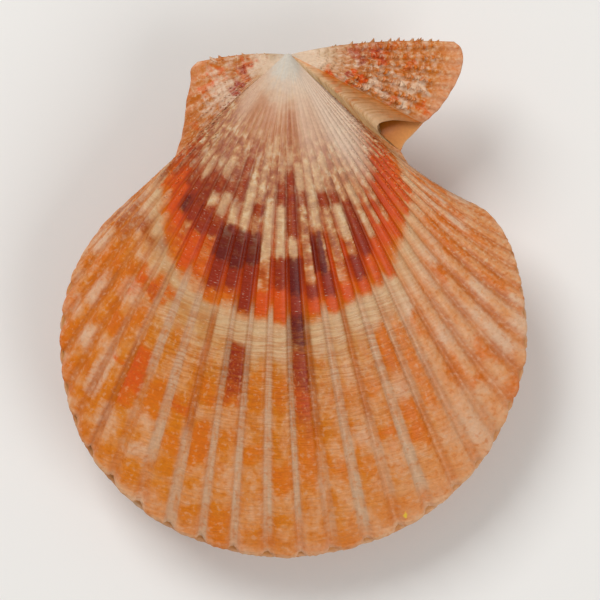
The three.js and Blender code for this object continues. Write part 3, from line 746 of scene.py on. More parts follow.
# Stains on the ribs: the rib, counted from the hind side, from and to in mm from the umbo, and the strength
stains = {
    "mauve": [
        (13, 7.1, 13.2, 0.5), (13, 13.2, 17.7, 0.8), (8, 11.2, 19.5, 0.8), (7, 12.4, 18.9, 0.6),
        (9, 10.9, 14.4, 0.5), (5, 11.8, 17.7, 0.6), (4, 11.2, 14.2, 0.6), (6, 15.9, 18.7, 0.6),
        (18, 11.8, 14.6, 0.6), (2, 15, 18.3, 0.7), (1, 15.5, 19.8, 0.8), (0, 17, 21.3, 0.8),
        (12, 10.9, 17.7, 0.5), (3, 16.1, 19.5, 0.6), (17, 14.2, 17.7, 0.4), (0, 24.4, 29, 0.9),
        (-1.5, 24, 30, 0.8), (1, 25.4, 29.4, 0.7), (4, 25.8, 28, 0.5), (11, 11.8, 17.7, 0.35),
        (15, 14.9, 17.2, 0.35), (14, 7.1, 13, 0.3), (10, 11.8, 15.4, 0.3),
    ],
    "cream": [
        (9, 15.8, 21.4, 1), (12, 18.2, 24.3, 1), (11, 18, 24.3, 1), (13, 11.6, 13.5, 0.7),
        (13, 19.8, 21.7, 0.55), (14, 13.2, 16.8, 0.8), (15, 12.8, 21, 0.75), (16, 13.2, 16.8, 0.6),
        (17, 12.8, 14.6, 0.8), (17, 18.7, 22.7, 1), (19, 17, 19.4, 0.9), (19, 20.5, 23.9, 0.6),
        (6, 13.9, 16.1, 0.7), (6, 18.4, 20.3, 0.8), (7, 18.2, 21, 0.8), (4, 14.9, 17.7, 0.7),
        (3, 14.2, 16.5, 0.6), (10, 10.9, 17.7, 0.5), (11, 9.9, 12.3, 0.6), (12, 12.3, 14.6, 0.5),
        (8, 18.9, 21.4, 0.7), (5, 14.2, 15.6, 0.6), (3, 23.1, 26.7, 0.6), (2, 21.3, 24.3, 0.6),
        (1, 21.7, 25.5, 0.7), (0, 22, 25.3, 0.7), (26, 19.4, 22, 0.8), (27, 22, 26.2, 0.9),
        (26, 22.4, 26, 0.6), (25, 26.7, 29.1, 0.7), (26, 26.9, 29.1, 0.7), (20, 27.9, 32.1, 0.5),
        (21, 25.5, 32.1, 0.6), (22, 24.3, 29.8, 0.55), (23, 23.6, 28.8, 0.45), (24, 22.9, 26.7, 0.5),
        (11, 31.4, 35.9, 0.9), (12, 31.9, 35.9, 0.9), (10, 31.4, 35, 0.7), (9, 30, 34.5, 0.75),
        (14, 32.6, 35.7, 0.9), (15, 30.9, 34.5, 0.9), (16, 30, 34, 0.9), (17, 29.8, 33.8, 0.9),
        (18, 29.5, 32.6, 0.8), (19, 29.3, 33.8, 0.9), (7, 28.3, 31.4, 0.6), (6, 28.3, 30.7, 0.5),
        (3.5, 32.4, 35.2, 0.8), (2, 34, 38, 0.8), (3, 38.8, 42.8, 0.65), (4.5, 41.4, 46.2, 0.8),
        (4.5, 28, 30.6, 0.8), (0, 29.4, 31.6, 0.7), (5.5, 46.5, 49, 0.5), (2.5, 45.5, 48, 0.5),
        (7, 49.4, 51.3, 0.5), (7, 45.4, 47.5, 0.4), (17, 40.2, 43, 0.6), (15, 44.6, 47.5, 0.45),
        (19, 46.8, 52.2, 0.55), (21, 47.2, 52, 0.4), (22, 36.4, 39.9, 0.6), (21.8, 39.6, 44.6, 0.9),
        (23, 40.9, 44.9, 0.8), (23, 34, 38, 0.9), (23.6, 37.6, 41.4, 0.8), (25.4, 21.6, 24.2, 1),
        (29, 25, 27.5, 0.8), (30, 21.6, 23.4, 0.8), (27, 23.4, 25, 0.9), (20, 36, 40, 0.7),
        (18, 47, 50.8, 0.3), (16, 48.4, 52, 0.25), (13, 22, 24.1, 0.8),
    ],
    "orange": [
        (17, 33.8, 39.9, 0.9), (17, 43, 45.6, 0.9), (17, 46.1, 48.4, 1), (16, 45.4, 47.2, 0.8),
        (16, 39.2, 41.6, 0.5), (14, 47.8, 50.8, 0.5), (9, 39.7, 42.8, 0.8), (9, 44.9, 49.8, 0.9),
        (12, 48.2, 51.5, 0.8), (11, 46.5, 48.2, 0.6), (7, 40.9, 45.8, 0.7), (20, 43.7, 45.6, 0.8),
        (21, 40.6, 43.7, 0.7), (19, 33.5, 35.4, 0.6), (19, 35.9, 37.6, 0.6), (8, 42.3, 45.1, 0.7),
        (8, 46.8, 49.4, 0.6), (4, 35.9, 39.2, 0.9), (22, 30, 33.3, 1), (24, 26.9, 31.7, 0.7),
        (12, 37.6, 40.9, 0.6), (11, 37.1, 40.9, 0.5), (13, 42.5, 51, 0.6), (3, 30.9, 35.4, 0.5),
        (1, 30.7, 34.5, 0.6), (2, 30.5, 32.8, 0.5), (15, 47.7, 51, 0.4), (18, 33.8, 45.4, 0.55),
        (10, 44.2, 47.5, 0.4), (10, 54.3, 59.6, 0.5), (0, 32.2, 35.4, 0.4), (23.5, 28.4, 31.4, 1),
        (25.3, 25, 29.6, 1), (24.2, 24.8, 27.4, 0.9), (26.6, 23.4, 25.6, 0.7), (2, 41, 45.5, 0.7),
        (21, 46.5, 52, 0.7), (26, 29, 33, 0.7), (27.5, 20, 23, 0.8), (29, 22, 25, 0.7),
        (30.5, 19.5, 21.5, 0.7), (27, 26.4, 28.4, 0.7), (24, 34.6, 38.6, 0.6), (19.5, 40.5, 44, 0.6),
        (3, 44, 48, 0.6), (5, 34, 38, 0.6), (1, 37, 41, 0.5),
    ],
    "ember": [
        (6, 38.3, 45.1, 0.85), (6, 30.7, 32.6, 0.6), (5, 30.2, 33.1, 0.7), (4, 30.2, 33.3, 0.8),
        (5, 40.6, 42, 0.5), (13, 39, 42.8, 0.9), (10, 39, 41.8, 0.8), (8, 42.5, 44.4, 0.5),
        (3, 19.3, 23.4, 1), (4, 22.4, 24.1, 1), (2, 17.7, 21, 0.8), (11, 28.3, 31.2, 0.9),
        (12, 27.9, 31.7, 1), (7, 23.6, 28.3, 0.35), (6, 23.6, 28.3, 0.8), (20, 22.9, 25.3, 1),
        (21, 22.9, 25.3, 1), (22, 18.2, 24.1, 0.9), (23, 17.5, 23.6, 0.9), (24, 15.4, 22.7, 0.9),
        (25, 16.3, 22.2, 0.8), (26, 16.5, 19.4, 0.6), (19, 24.1, 29.1, 0.9), (18, 25.3, 29.3, 0.7),
        (14, 28.8, 30.9, 0.9), (15, 28.8, 30.9, 0.9), (16, 27.9, 30.1, 0.9), (17, 28, 29.8, 0.9),
        (1, 19.5, 21.7, 0.5),
    ],
    "maroon": [
        (13, 14.2, 21.7, 0.85), (13, 35.4, 39.2, 1), (13, 39.4, 44.6, 0.35), (10, 34.7, 39.4, 1),
        (10, 39.4, 41.6, 0.5), (10, 18.2, 19.8, 0.8), (6, 16.5, 18.4, 0.7), (6, 20.3, 23.6, 0.8),
        (5, 16.5, 22.9, 0.8), (4, 17.7, 20.8, 0.7), (7, 21, 23.4, 0.8), (7, 15.8, 18, 0.4),
        (12, 15.4, 18, 0.8), (12, 24.3, 27.9, 0.7), (14, 16.5, 18.4, 0.6), (14, 27.4, 29.1, 0.8),
        (15, 26.2, 29.1, 0.8), (16, 17.1, 18.9, 0.7), (17, 17.5, 18.9, 0.7), (17, 25, 28, 0.85),
        (18, 18.7, 25.5, 1), (8, 25.3, 29.1, 0.8), (9, 26, 28.6, 0.8), (10, 25.3, 30.9, 0.8),
        (3, 17.7, 19.5, 0.5), (3, 26.5, 28.3, 0.4), (2, 25.3, 27.9, 0.5), (2, 15.5, 17.7, 0.2),
        (13, 28.3, 31.4, 0.8), (5, 31.2, 32.8, 0.3), (8, 13.2, 18.7, 0.45),
    ],
    "plum": [
        (8, 21.5, 25.5, 1), (9, 21.6, 26.1, 1), (10, 21.7, 25.4, 1), (14.7, 21.6, 26.3, 1),
        (13, 24.2, 28.6, 0.8), (13, 30.9, 35.2, 0.7), (4, 20.3, 22.4, 0.7), (5, 17.7, 20.7, 0.3),
    ],
}

# Stains on the ears: x and y in mm from the umbo, radius in mm, strength
earStains = {
    "cream": [
        (-3.1, -1.2, 1.6, 1), (-8, -3.8, 1.5, 0.9), (-6.6, -5.4, 1.4, 0.9), (-8.6, -5.3, 1, 0.8),
        (-9.3, -7, 0.9, 0.7), (2.6, -0.6, 2.1, 1), (9.9, -3.7, 0.7, 1), (11.4, -4.3, 0.8, 1),
        (12.6, -2.7, 0.7, 0.9), (13.6, -3.7, 0.8, 1), (15.2, -3.8, 0.9, 1), (16.5, -4.2, 0.7, 1),
        (14, -5.9, 0.9, 1), (8.2, -1.1, 0.6, 0.8), (10.6, -1.6, 0.7, 0.6), (16.4, -2.2, 0.6, 0.5),
    ],
    "ember": [
        (-5, -1, 1, 0.5), (-5.4, -2.7, 0.8, 0.4), (-9.4, -2.3, 0.8, 0.5), (-7.9, -1.7, 0.7, 0.6),
        (-9.5, -4, 0.9, 0.6), (-10.6, -8.5, 0.8, 0.4), (4.9, -2.9, 1, 0.9), (6.4, -3.7, 0.7, 0.9),
        (8, -4.3, 0.6, 0.8), (8.6, -2.7, 0.7, 1), (10.6, -0.4, 1.1, 0.7), (14.2, -0.8, 0.8, 0.6),
        (12, -5.6, 0.6, 0.6), (16.2, -6.4, 0.9, 0.6), (12.4, 0.9, 0.8, 0.5),
    ],
    "maroon": [
        (-5.2, -1.6, 0.8, 0.6), (-5.7, -3.9, 0.8, 0.8), (-6.3, -5, 0.7, 0.7), (-7, -6.4, 0.7, 0.5),
        (8.4, 0.2, 1.4, 0.5), (10.8, 0.3, 1.2, 0.5), (7.4, -2.6, 0.45, 0.7), (11.9, -3.9, 0.4, 0.5),
    ],
    "orange": [
        (-11.5, -2.6, 1.2, 0.7), (-11.8, -5.4, 1.5, 0.9), (-11.9, -8, 1.5, 0.9), (-12, -10, 1.2, 0.8),
    ],
}

# The floors between ribs in the outer half: the rib before the floor, from and to in mm, how pale or dark;
# the dark ones are painted shade in the grooves
floors = {
    "paleFloor": [
        (6, 27.8, 41, 1), (7, 29, 51, 0.9), (9, 30, 59, 0.9), (10, 30, 59, 1), (11, 30, 57, 1),
        (12, 31, 55, 1), (13, 47, 57, 0.5), (14, 30, 57, 1), (16, 30, 54, 1), (17, 29.5, 44, 0.7),
        (18, 28.5, 40, 0.8), (5, 30, 38, 0.5), (20, 33, 42, 0.35), (21, 30, 40, 0.3), (4, 33, 42, 0.35),
        (8, 46, 58, 0.8), (15, 44, 54, 0.5), (19, 44, 52, 0.4), (18, 40, 50, 0.5),
    ],
    "grooveShade": [
        (8, 32, 48, 1), (13, 33, 45, 0.9), (15, 29, 45, 0.8), (17, 36, 48, 0.6), (18, 34, 46, 0.7),
        (19, 33, 45, 0.8), (20, 33, 43, 0.8), (22, 31, 42, 0.9), (5, 38, 50, 0.8), (4, 36, 47, 0.6),
        (21, 33, 38, 1), (21, 40, 46, 0.7), (23, 30, 40, 1), (24, 31, 37, 0.8), (2, 32, 38, 0.6),
        (10, 40, 47, 0.5),
    ],
}


# Distances in mm; how strongly each stain darkens the floors beside it, and what any floor has at least
markingRule = {
    "troughReach": 15, "creamBesideInner": 0.45, "leftShift": 1.6, "narrowPaleFloors": (9, 12),
    "darkening": {"plum": 1, "maroon": 0.65, "ember": 0.1}, "boost": {"maroon": 1.25, "plum": 1.25},
    # every narrow floor of the outer half takes at least this much pale colour and painted groove shade
    "everywhere": {"paleFloor": 0.12, "grooveShade": 0.2},
}


# What the markings follow at each point: growth and place in mm, rib, crest, share of growth and part
def surfaceOf(mesh, columns, isRight, pieces):
    col = pieces["column"]
    share = shareOf(np.radians(pieces["turn"]))
    part = np.array([column["part"] for column in columns])[col]
    reach = np.hypot(columnValues(columns, "x"), columnValues(columns, "y"))[col]
    place = np.zeros(len(mesh.vertices) * 3)
    mesh.vertices.foreach_get("co", place)
    x, y, _ = place.reshape(-1, 3).T / mm
    rib = columnValues(columns, "rib")[col]
    aside = np.abs(rib - valveLook["middleRib"])
    softly = smooth(share, 0.53, 0.63)
    isFront = part == "frontEar"
    return SimpleNamespace(
        x=x, y=y, share=share, rib=rib, aside=aside, softly=softly, sideways=softly * smooth(aside, 4, 9),
        growth=np.where(part == "trough", markingRule["troughReach"], reach) * share,
        crest=columnValues(columns, "crest")[col], outside=pieces["outside"], isRight=isRight,
        isFan=part == "fan", isFront=isFront, isEar=(part == "hindEar") | isFront, inTrough=part == "trough")


# The masks of the stains, whose edges are bent by waves so that they don't run straight
def stainMasks(at):
    wave = 0.5 * np.sin(at.x * 1.7 + 0.8 * np.sin(at.y * 0.9)) + 0.3 * np.sin(at.y * 2.3 + at.x)
    shift = (0 if at.isRight else markingRule["leftShift"]) * np.sin(at.rib * 2.3)
    wanted = at.growth + 0.12 * np.sin(at.rib * 9.1 + at.growth) + shift + at.softly * wave
    warpX = at.x + 0.45 * np.sin(2.9 * at.y + 1) + 0.3 * np.sin(5.1 * at.x + 3.3 * at.y)
    warpY = at.y + 0.45 * np.sin(2.3 * at.x) + 0.3 * np.sin(6.1 * at.y - 2.7 * at.x)
    outer = smooth(at.share, 0.5, 0.56)
    softness = 0.4 + 0.3 * smooth(at.share, 0.42, 0.48) + 0.7 * at.softly + 0.2 * at.sideways
    solidTo, fadedAt = 0.3 - 0.06 * outer, 0.53 - 0.05 * outer + 0.12 * at.sideways
    masks = {"beside": np.zeros(len(at.rib)), "besideCream": np.zeros(len(at.rib))}
    for stain, marks in stains.items():
        mask = np.zeros(len(at.rib))
        darkening = markingRule["darkening"].get(stain, 0)
        for index, low, high, strength in marks:
            away = np.abs(at.rib - index)
            along = strength * band(wanted, low, high, np.minimum(softness, 0.42 * (high - low)))
            mask = np.maximum(mask, along * (1 - smooth(away, solidTo, fadedAt)))
            beside = along * (1 - smooth(away, 0.55, 0.75))
            masks["beside"] = np.maximum(masks["beside"], darkening * beside)
            masks["besideCream"] = np.maximum(masks["besideCream"], (stain == "cream") * beside)
        mask *= at.isFan
        for x, y, radius, strength in earStains.get(stain, []):
            blot = 1 - smooth(np.hypot(warpX - x, warpY - y), radius * 0.2, radius * 1.5)
            mask = np.maximum(mask, (at.isEar + 0.4 * at.inTrough) * strength * blot)
        masks[stain] = np.minimum(1, mask * markingRule["boost"].get(stain, 1))
    return masks


# Masks of the pale floors and of the painted shade along the grooves between the ribs
def floorMasks(at):
    narrow = (1 - smooth(at.crest, 0.05, 0.62)) * at.isFan
    wide = (1 - smooth(at.crest, 0.4, 0.95)) * at.isFan
    first, last = markingRule["narrowPaleFloors"]
    masks = {}
    for name, marks in floors.items():
        mask = markingRule["everywhere"][name] * smooth(at.share, 0.55, 0.62) * narrow
        for index, low, high, strength in marks:
            width = narrow if name == "grooveShade" or first <= index <= last else wide
            near = np.abs(at.rib - index - 0.5) < 0.5
            mask = np.maximum(mask, strength * near * width * band(at.growth, low, high, 1.2))
        masks[name] = mask
    return masks


# Over which ribs, shares of growth or heights of a rib the masks rise or end; three values make a band
zones = {
    "floorCrest": (0.25, 0.85), "sideFloorCrest": (0.1, 0.7), "deepFrom": (0.19, 0.31),
    "deepFull": (0.3, 0.4), "deepEnd": (0.515, 0.545), "paleRibs": (13, 18), "paleEnd": (0.33, 0.44),
    "fadedRibs": (2, 6), "besideFade": (0.42, 0.5), "peachRibs": (13, 20), "peachFrom": (0.48, 0.6),
    "innerPeachRibs": (14, 20), "innerPeach": (0.2, 0.42, 0.06), "milkRibs": (13.5, 16),
    "moreMilkRibs": (18, 21.5), "longMilkRibs": (18, 22), "milkFrom": (0.04, 0.08), "milkEnd": (0.24, 0.34),
    "hindMilkRibs": (3, 6), "hindMilk": (0.1, 0.2, 0.05), "scalyRibs": (9, 13), "calmRibs": (4.5, 8),
}


# Writes what the shell's material reads: how far along its growth each point is, and its masks
def paint(mesh, columns, isRight, pieces):
    at = surfaceOf(mesh, columns, isRight, pieces)
    share, rib = at.share, at.rib
    masks = {**stainMasks(at), **floorMasks(at)}
    floor = (1 - smooth(at.crest, *zones["floorCrest"])) * at.isFan
    paler = 1 - 0.7 * smooth(rib, *zones["paleRibs"]) * (1 - smooth(share, *zones["paleEnd"]))
    deep = smooth(share, *zones["deepFrom"]) * (0.65 + 0.35 * smooth(share, *zones["deepFull"]))
    deep *= 1 - smooth(share, *zones["deepEnd"])
    unbleached = 1 - markingRule["creamBesideInner"] * masks.pop("besideCream")
    faded = blendTo(0.55, 1, smooth(rib, *zones["fadedRibs"]))
    masks["innerFloor"] = floor * deep * paler * unbleached * faded
    masks["beside"] *= floor * (1 - 0.35 * smooth(share, *zones["besideFade"]))
    # Painted shade: a darker orange in the grooves of the side ribs in the outer half
    masks["sideGrooveShade"] = at.sideways * (1 - smooth(at.crest, *zones["sideFloorCrest"])) * at.isFan
    innerPeach = 0.5 * smooth(rib, *zones["innerPeachRibs"]) * band(share, *zones["innerPeach"])
    outerPeach = smooth(rib, *zones["peachRibs"]) * smooth(share, *zones["peachFrom"])
    masks["peachSide"] = np.maximum(outerPeach, innerPeach) * at.isFan
    masks["sideways"] = np.maximum(at.sideways, 0.35 * at.softly) * at.isFan
    masks["grit"] = gritShare(at.x, at.y, isRight) * (at.outside > 0.9)
    bar = earSwelling(at.growth, rib, at.crest, at.isFront) * at.isEar * np.where(at.isFront, 1, 0.5)
    masks["bar"] = bar * (1 - smooth(share, earLamellae["endFrom"], earLamellae["endTo"]))
    milkEnd = blendTo(*zones["milkEnd"], smooth(rib, *zones["longMilkRibs"]))
    frontMilk = 0.45 * smooth(rib, *zones["milkRibs"]) + 0.55 * smooth(rib, *zones["moreMilkRibs"])
    frontMilk *= smooth(share, *zones["milkFrom"]) * (1 - smooth(share, milkEnd - 0.08, milkEnd + 0.08))
    hindMilk = 0.4 * (1 - smooth(rib, *zones["hindMilkRibs"])) * band(share, *zones["hindMilk"])
    masks["milky"] = np.maximum(frontMilk, hindMilk) * at.isFan
    masks["scaly"] = np.maximum(at.isEar * 0.9, at.isFan * smooth(at.aside, *zones["scalyRibs"]))
    masks["calm"] = smooth(at.aside, *zones["calmRibs"])
    putAttributes(mesh, masks)
    putAttributes(mesh, {
        "growth": at.growth, "rib": rib, "share": share, "crest": at.crest, "outside": at.outside,
        "fan": at.isFan, "trough": at.inTrough,
    })


def tint(text):
    values = [int(text[i:i + 2], 16) / 255 for i in (0, 2, 4)]
    return tuple(v / 12.92 if v <= 0.04045 else ((v + 0.055) / 1.055) ** 2.4 for v in values) + (1.0,)


def newMaterial(name):
    material = bpy.data.materials.new(name)
    material.use_nodes = True
    return material, material.node_tree, material.node_tree.nodes["Principled BSDF"]


# Covers one colour with another as far as a mask says; a colour is a wire or a name in the palette
def cover(colour, mask, over):
    first, second = (tint(palette[value]) if isinstance(value, str) else value for value in (colour, over))
    return addNode(mask.tree, "ShaderNodeMix", {0: mask, 6: first, 7: second}, output=2, data_type="RGBA")


def ramp(factor, stops):
    mapped = addNode(factor.tree, "ShaderNodeValToRGB", {0: factor})
    marks = mapped.socket.node.color_ramp.elements
    while len(marks) < len(stops):
        marks.new(0.5)
    for mark, (place, colour) in zip(marks, stops):
        mark.position = place
        mark.color = tint(colour)
    return mapped


def noiseAt(along, across, third, detail=2):
    place = makePlace(along.tree, along, across, third)
    return addNode(along.tree, "ShaderNodeTexNoise", {"Scale": 1, "Detail": detail, "Vector": place})


# Noise over a piece itself, in its own space
def grainNoise(tree, scale, detail, shift=0, dimensions="3D"):
    where = addNode(tree, "ShaderNodeTexCoord", output="Object")
    values = {"Vector": where, "Scale": scale, "Detail": detail}
    if dimensions == "4D":
        values["W"] = shift
    return addNode(tree, "ShaderNodeTexNoise", values, noise_dimensions=dimensions)


def remap(value, low, high, newLow=0, newHigh=1):
    return addNode(value.tree, "ShaderNodeMapRange", {0: value, 1: low, 2: high, 3: newLow, 4: newHigh},
                   interpolation_type="SMOOTHSTEP")


def useGroup(tree, group, **values):
    return addNode(tree, "ShaderNodeGroup", values, node_tree=group)


# Fine growth lines that run across the ribs
def growthLineGroup():
    tree, given, out = newTree("growthLines", "ShaderNodeTree", {
        "Growth": 0.0, "Rib": 0.0, "LinesPerMm": 4.0, "Shift": 0.0,
    }, ["Lines", "Bands"])
    growth, rib, shift = given["Growth"], given["Rib"], given["Shift"]
    bent = growth + noiseAt(growth * 0.5, rib, shift, 1) * 0.5
    fine = noiseAt(bent * given["LinesPerMm"], rib * 0.7, shift)
    wide = noiseAt(bent * 0.9, rib * 0.35, shift, 1)
    link(remap(fine, 0.36, 0.66), out.inputs["Lines"])
    link(remap(wide, 0.35, 0.65), out.inputs["Bands"])
    return tree


# Soft cells that follow one another along each rib and differ from rib to rib
def ribCellGroup():
    tree, given, out = newTree("ribCells", "ShaderNodeTree", {
        "Growth": 0.0, "Rib": 0.0, "CellsPerMm": 1.0, "Shift": 0.0,
    }, ["Tone"])
    across = calc("ROUND", given["Rib"]) * 7.31 + given["Rib"] * 1.3
    tone = noiseAt(given["Growth"] * given["CellsPerMm"], across, given["Shift"])
    link(remap(tone, 0.3, 0.7), out.inputs["Tone"])
    return tree


# Soft clouds of colour a few mm across, and a fine grain
def cloudGroup():
    tree, given, out = newTree("cloudNoise", "ShaderNodeTree", {"Shift": 0.0}, ["Cloud", "Grain"])
    link(grainNoise(tree, 260, 3, given["Shift"], "4D"), out.inputs["Cloud"])
    link(grainNoise(tree, 2600, 2), out.inputs["Grain"])
    return tree


# A mask whose edges break up on the grain of the shell
def brokenMaskGroup():
    sockets = {"Mask": 0.0, "Grain": 0.5, "Depth": 0.5}
    tree, given, out = newTree("brokenMask", "ShaderNodeTree", sockets, ["Mask"])
    shaken = given["Mask"] + (given["Grain"] - 0.5) * given["Depth"]
    link(remap(shaken, -0.05, 1) * remap(given["Mask"], 0.02, 0.25), out.inputs["Mask"])
    return tree


# Colours of the shell: plain ones by name, and ramps over growth, noise or the trough's breadth; the two
# groove colours are painted shade in the grooves, and the inside ramp is partly painted shade
palette = {
    "mauve": "945040", "cream": "dabc98", "orange": "d86c20", "ember": "d44a08", "maroon": "902a12",
    "plum": "621612", "paleFloor": "ceb094", "grooveShade": "ac5c34", "sideGrooveShade": "c4682a", "beside": "641a10",
    "tan": "d6a070", "deepOrange": "cc6a2c", "milk": "e2ccb8", "paleCream": "dcc2aa", "salmon": "d4703a",
    "orangeEar": "b86a36", "maroonEar": "a0483a", "fleck": "deb89a", "grit": "e4c060", "peach": "e0ae88",
    "lineBrown": "b05c28", "troughLine": "a87a4c", "glint": "f0d4c0",
    "innerFloors": [(0, "d2b8a0"), (0.2, "a87860"), (0.29, "8e4e40"), (0.35, "9c3c20"), (0.42, "b83a0e"),
                    (0.48, "d04a0a"), (0.54, "cc7838")],
    "mosaic": [(0, "8a5040"), (0.25, "a66e56"), (0.5, "b68262"), (0.72, "c69c76"), (0.88, "d2b490"),
               (1, "dcc8ac")],
    "earMosaic": [(0, "a8582b"), (0.25, "b87040"), (0.5, "c0865e"), (0.75, "c8a284"), (1, "dcc8b4")],
    "mottle": [(0.36, "c86432"), (0.45, "d68450"), (0.53, "dca27c"), (0.64, "e4cab4")],
    "fanZones": [(0, "ccc6bb"), (0.045, "ccc2b5"), (0.067, "ceb9a7"), (0.0945, "c9aa92"), (0.122, "bb8d72"),
                 (0.15, "b27e60"), (0.23, "b27a5a"), (0.3, "bc8460"), (0.37, "c07648"), (0.42, "c8602a"),
                 (0.49, "d05010"), (0.525, "d46418"), (0.55, "c8a07a"), (0.6, "c69a6a"), (0.68, "d08a52"),
                 (0.8, "d4864a"), (0.93, "d8884a"), (0.985, "da8e5c"), (1, "e4bc98")],
    "earZones": [(0, "d0c2b2"), (0.2, "c6aa8c"), (0.42, "b88260"), (0.7, "ba7446"), (0.84, "c47a46"),
                 (0.93, "d0926c"), (1, "d29a7a")],
    "trough": [(0, "bc9a70"), (0.3, "d2b894"), (0.62, "d6ac86"), (0.88, "d89a6c"), (1, "cc7040")],
    # the inside's own colour, darker inward from the margin towards the notch's lip, which is partly painted
    # shade
    "inside": [(0, "b88458"), (0.55, "965a34"), (0.85, "a06034"), (1, "cc9464")],
}
shellFinish = {
    "stainStrength": {"mauve": 0.68, "cream": 0.64, "orange": 0.84, "ember": 0.88, "maroon": 1, "plum": 1},
    "floorStrength": {"sideGrooveShade": 0.5, "grooveShade": 0.75, "paleFloor": 0.9},
    "layerStrength": {
        "darkCells": 0.5, "mosaic": 0.7, "mottle": 0.6, "peach": 0.5, "milk": 0.7, "earMosaic": 0.6,
        "bars": 0.75, "troughLines": 0.5, "smallMosaic": 0.16, "innerFloors": 0.9, "lateMilk": 0.5,
        "beside": 0.85, "lines": 0.42, "paleSpecks": 0.6, "darkSpecks": 0.45, "paleFlecks": 0.35,
        "darkFlecks": 0.4, "bloom": 0.22,
    },
    "earCream": 0.95, "stainBreakup": 0.8, "richness": 1.12, "linesPerMm": 3.6, "largeCellsPerMm": 0.33,
    "smallCellsPerMm": 0.95, "bumpStrength": 0.55, "bumpDepth": 0.08, "specular": 0.35, "coat": 0.05,
    "coatRoughness": 0.25,
}


def attribute(tree, name):
    return addNode(tree, "ShaderNodeAttribute", output="Fac", attribute_name=name)


# Noise that follows growth and ribs: so many spots in each mm of growth and across each rib
def shellNoise(at, perMm, perRib, shift, detail=2):
    return noiseAt(at.growth * perMm, at.rib * perRib, at.shift + shift, detail)


# The masks and noises that the shell's colour is mixed from
def shellFields(tree, shift):
    keys = ("growth", "rib", "share", "crest", "outside", "fan", "trough", "calm", "scaly", "sideways",
            "peachSide", "milky", "innerFloor", "beside", "grit", "bar", "tip", "plum")
    at = SimpleNamespace(tree=tree, shift=shift, **{key: attribute(tree, key) for key in keys})
    ways = {"Growth": at.growth, "Rib": at.rib}
    at.lines = useGroup(tree, growthLines, LinesPerMm=shellFinish["linesPerMm"], Shift=shift, **ways)
    at.cell = useGroup(tree, ribCells, CellsPerMm=shellFinish["largeCellsPerMm"], Shift=shift + 6, **ways)
    at.tone = useGroup(tree, ribCells, CellsPerMm=shellFinish["smallCellsPerMm"], Shift=shift + 12, **ways)
    at.cloud = useGroup(tree, cloudNoise, Shift=shift)
    at.grain = shellNoise(at, 3, 4, 0, 3)
    at.outerHalf = remap(at.share, 0.56, 0.66)
    at.innerHalf = remap(at.share, 0.14, 0.25) * remap(at.share, 0.54, 0.4, 0.25)
    at.innerHalf = at.innerHalf * remap(at.share, 0.6, 0.52)
    at.mosaic = ramp(at.tone, palette["mosaic"])
    glint = remap(shellNoise(at, 7, 3.5, 2, 1), 0.64, 0.74) * remap(at.crest, 0.5, 0.9)
    glint = glint * remap(at.share, 0.2, 0.3) * remap(at.share, 0.75, 0.5, 0.1, 0.42)
    at.glint = glint * remap(at.plum, 0.1, 0.6, 1, 0.35)
    return at


# Lays colours over one another: each layer is its name in shellFinish, its mask and its colour
def layered(colour, layers):
    for name, mask, over in layers:
        colour = cover(colour, mask * shellFinish["layerStrength"][name], over)
    return colour


# The ground colours of fan, ears and trough
def groundColour(at):
    zone = at.share + (at.lines.output("Bands") - 0.5) * 0.012
    sparing = remap(at.sideways, 0.4, 1, 1, 0.3)
    lightCell = remap(at.cell, 0.5, 0.95) * (at.outerHalf * 0.2 + 0.25) * sparing
    darkCell = remap(at.cell, 0.5, 0.05) * at.outerHalf * sparing * remap(at.share, 0.95, 0.7, 0.4)
    fan = cover(ramp(zone, palette["fanZones"]), lightCell, cover("cream", at.outerHalf, "peach"))
    fan = layered(fan, [
        ("darkCells", darkCell, "deepOrange"),
        ("mosaic", at.innerHalf, at.mosaic),
        ("mottle", at.sideways, ramp(at.cloud, palette["mottle"])),
        ("peach", at.peachSide, "peach"),
        ("milk", at.milky, "milk"),
    ])
    earMiddle = remap(at.share, 0.18, 0.4) * remap(at.share, 0.97, 0.8)
    ear = layered(ramp(zone, palette["earZones"]), [
        ("earMosaic", earMiddle, ramp(at.tone, palette["earMosaic"])),
        ("bars", remap(at.bar, 0.3, 0.85) * remap(at.share, 0.3, 0.6), "orange"),
    ])
    troughLines = at.lines * remap(at.share, 0.93, 0.82)
    trough = layered(ramp(at.rib, palette["trough"]), [("troughLines", troughLines, "troughLine")])
    return cover(cover(ear, at.fan, fan), at.trough, trough)


def addStains(at, colour):
    for stain, strength in shellFinish["stainStrength"].items():
        mask = useGroup(at.tree, brokenMask, Mask=attribute(at.tree, stain), Grain=at.grain,
                        Depth=shellFinish["stainBreakup"])
        over = stain
        if stain == "cream":
            strength = remap(at.fan, 0, 1, shellFinish["earCream"], strength)
            over = cover(over, calc("MAXIMUM", at.outerHalf, 1 - at.fan), "paleCream")
        if stain == "orange":
            over = cover(over, at.sideways, "salmon")
        if stain in ("orange", "maroon"):
            over = cover(stain + "Ear", at.fan, over)
        colour = cover(colour, mask * strength, over)
    return colour


def addFloors(at, colour):
    colour = layered(colour, [
        ("smallMosaic", at.innerHalf * at.fan * remap(at.share, 0.46, 0.36), at.mosaic),
        ("innerFloors", at.innerFloor, ramp(at.share, palette["innerFloors"])),
        ("lateMilk", at.milky, "milk"),
    ])
    # The pale floors, then painted shade in the grooves of the outer half, each broken into patches
    patchy = remap(at.cell, 0.3, 0.7, 0.7)
    for floor, strength in shellFinish["floorStrength"].items():
        colour = cover(colour, attribute(at.tree, floor) * strength * patchy, floor)
    return layered(colour, [("beside", at.beside, "beside")])


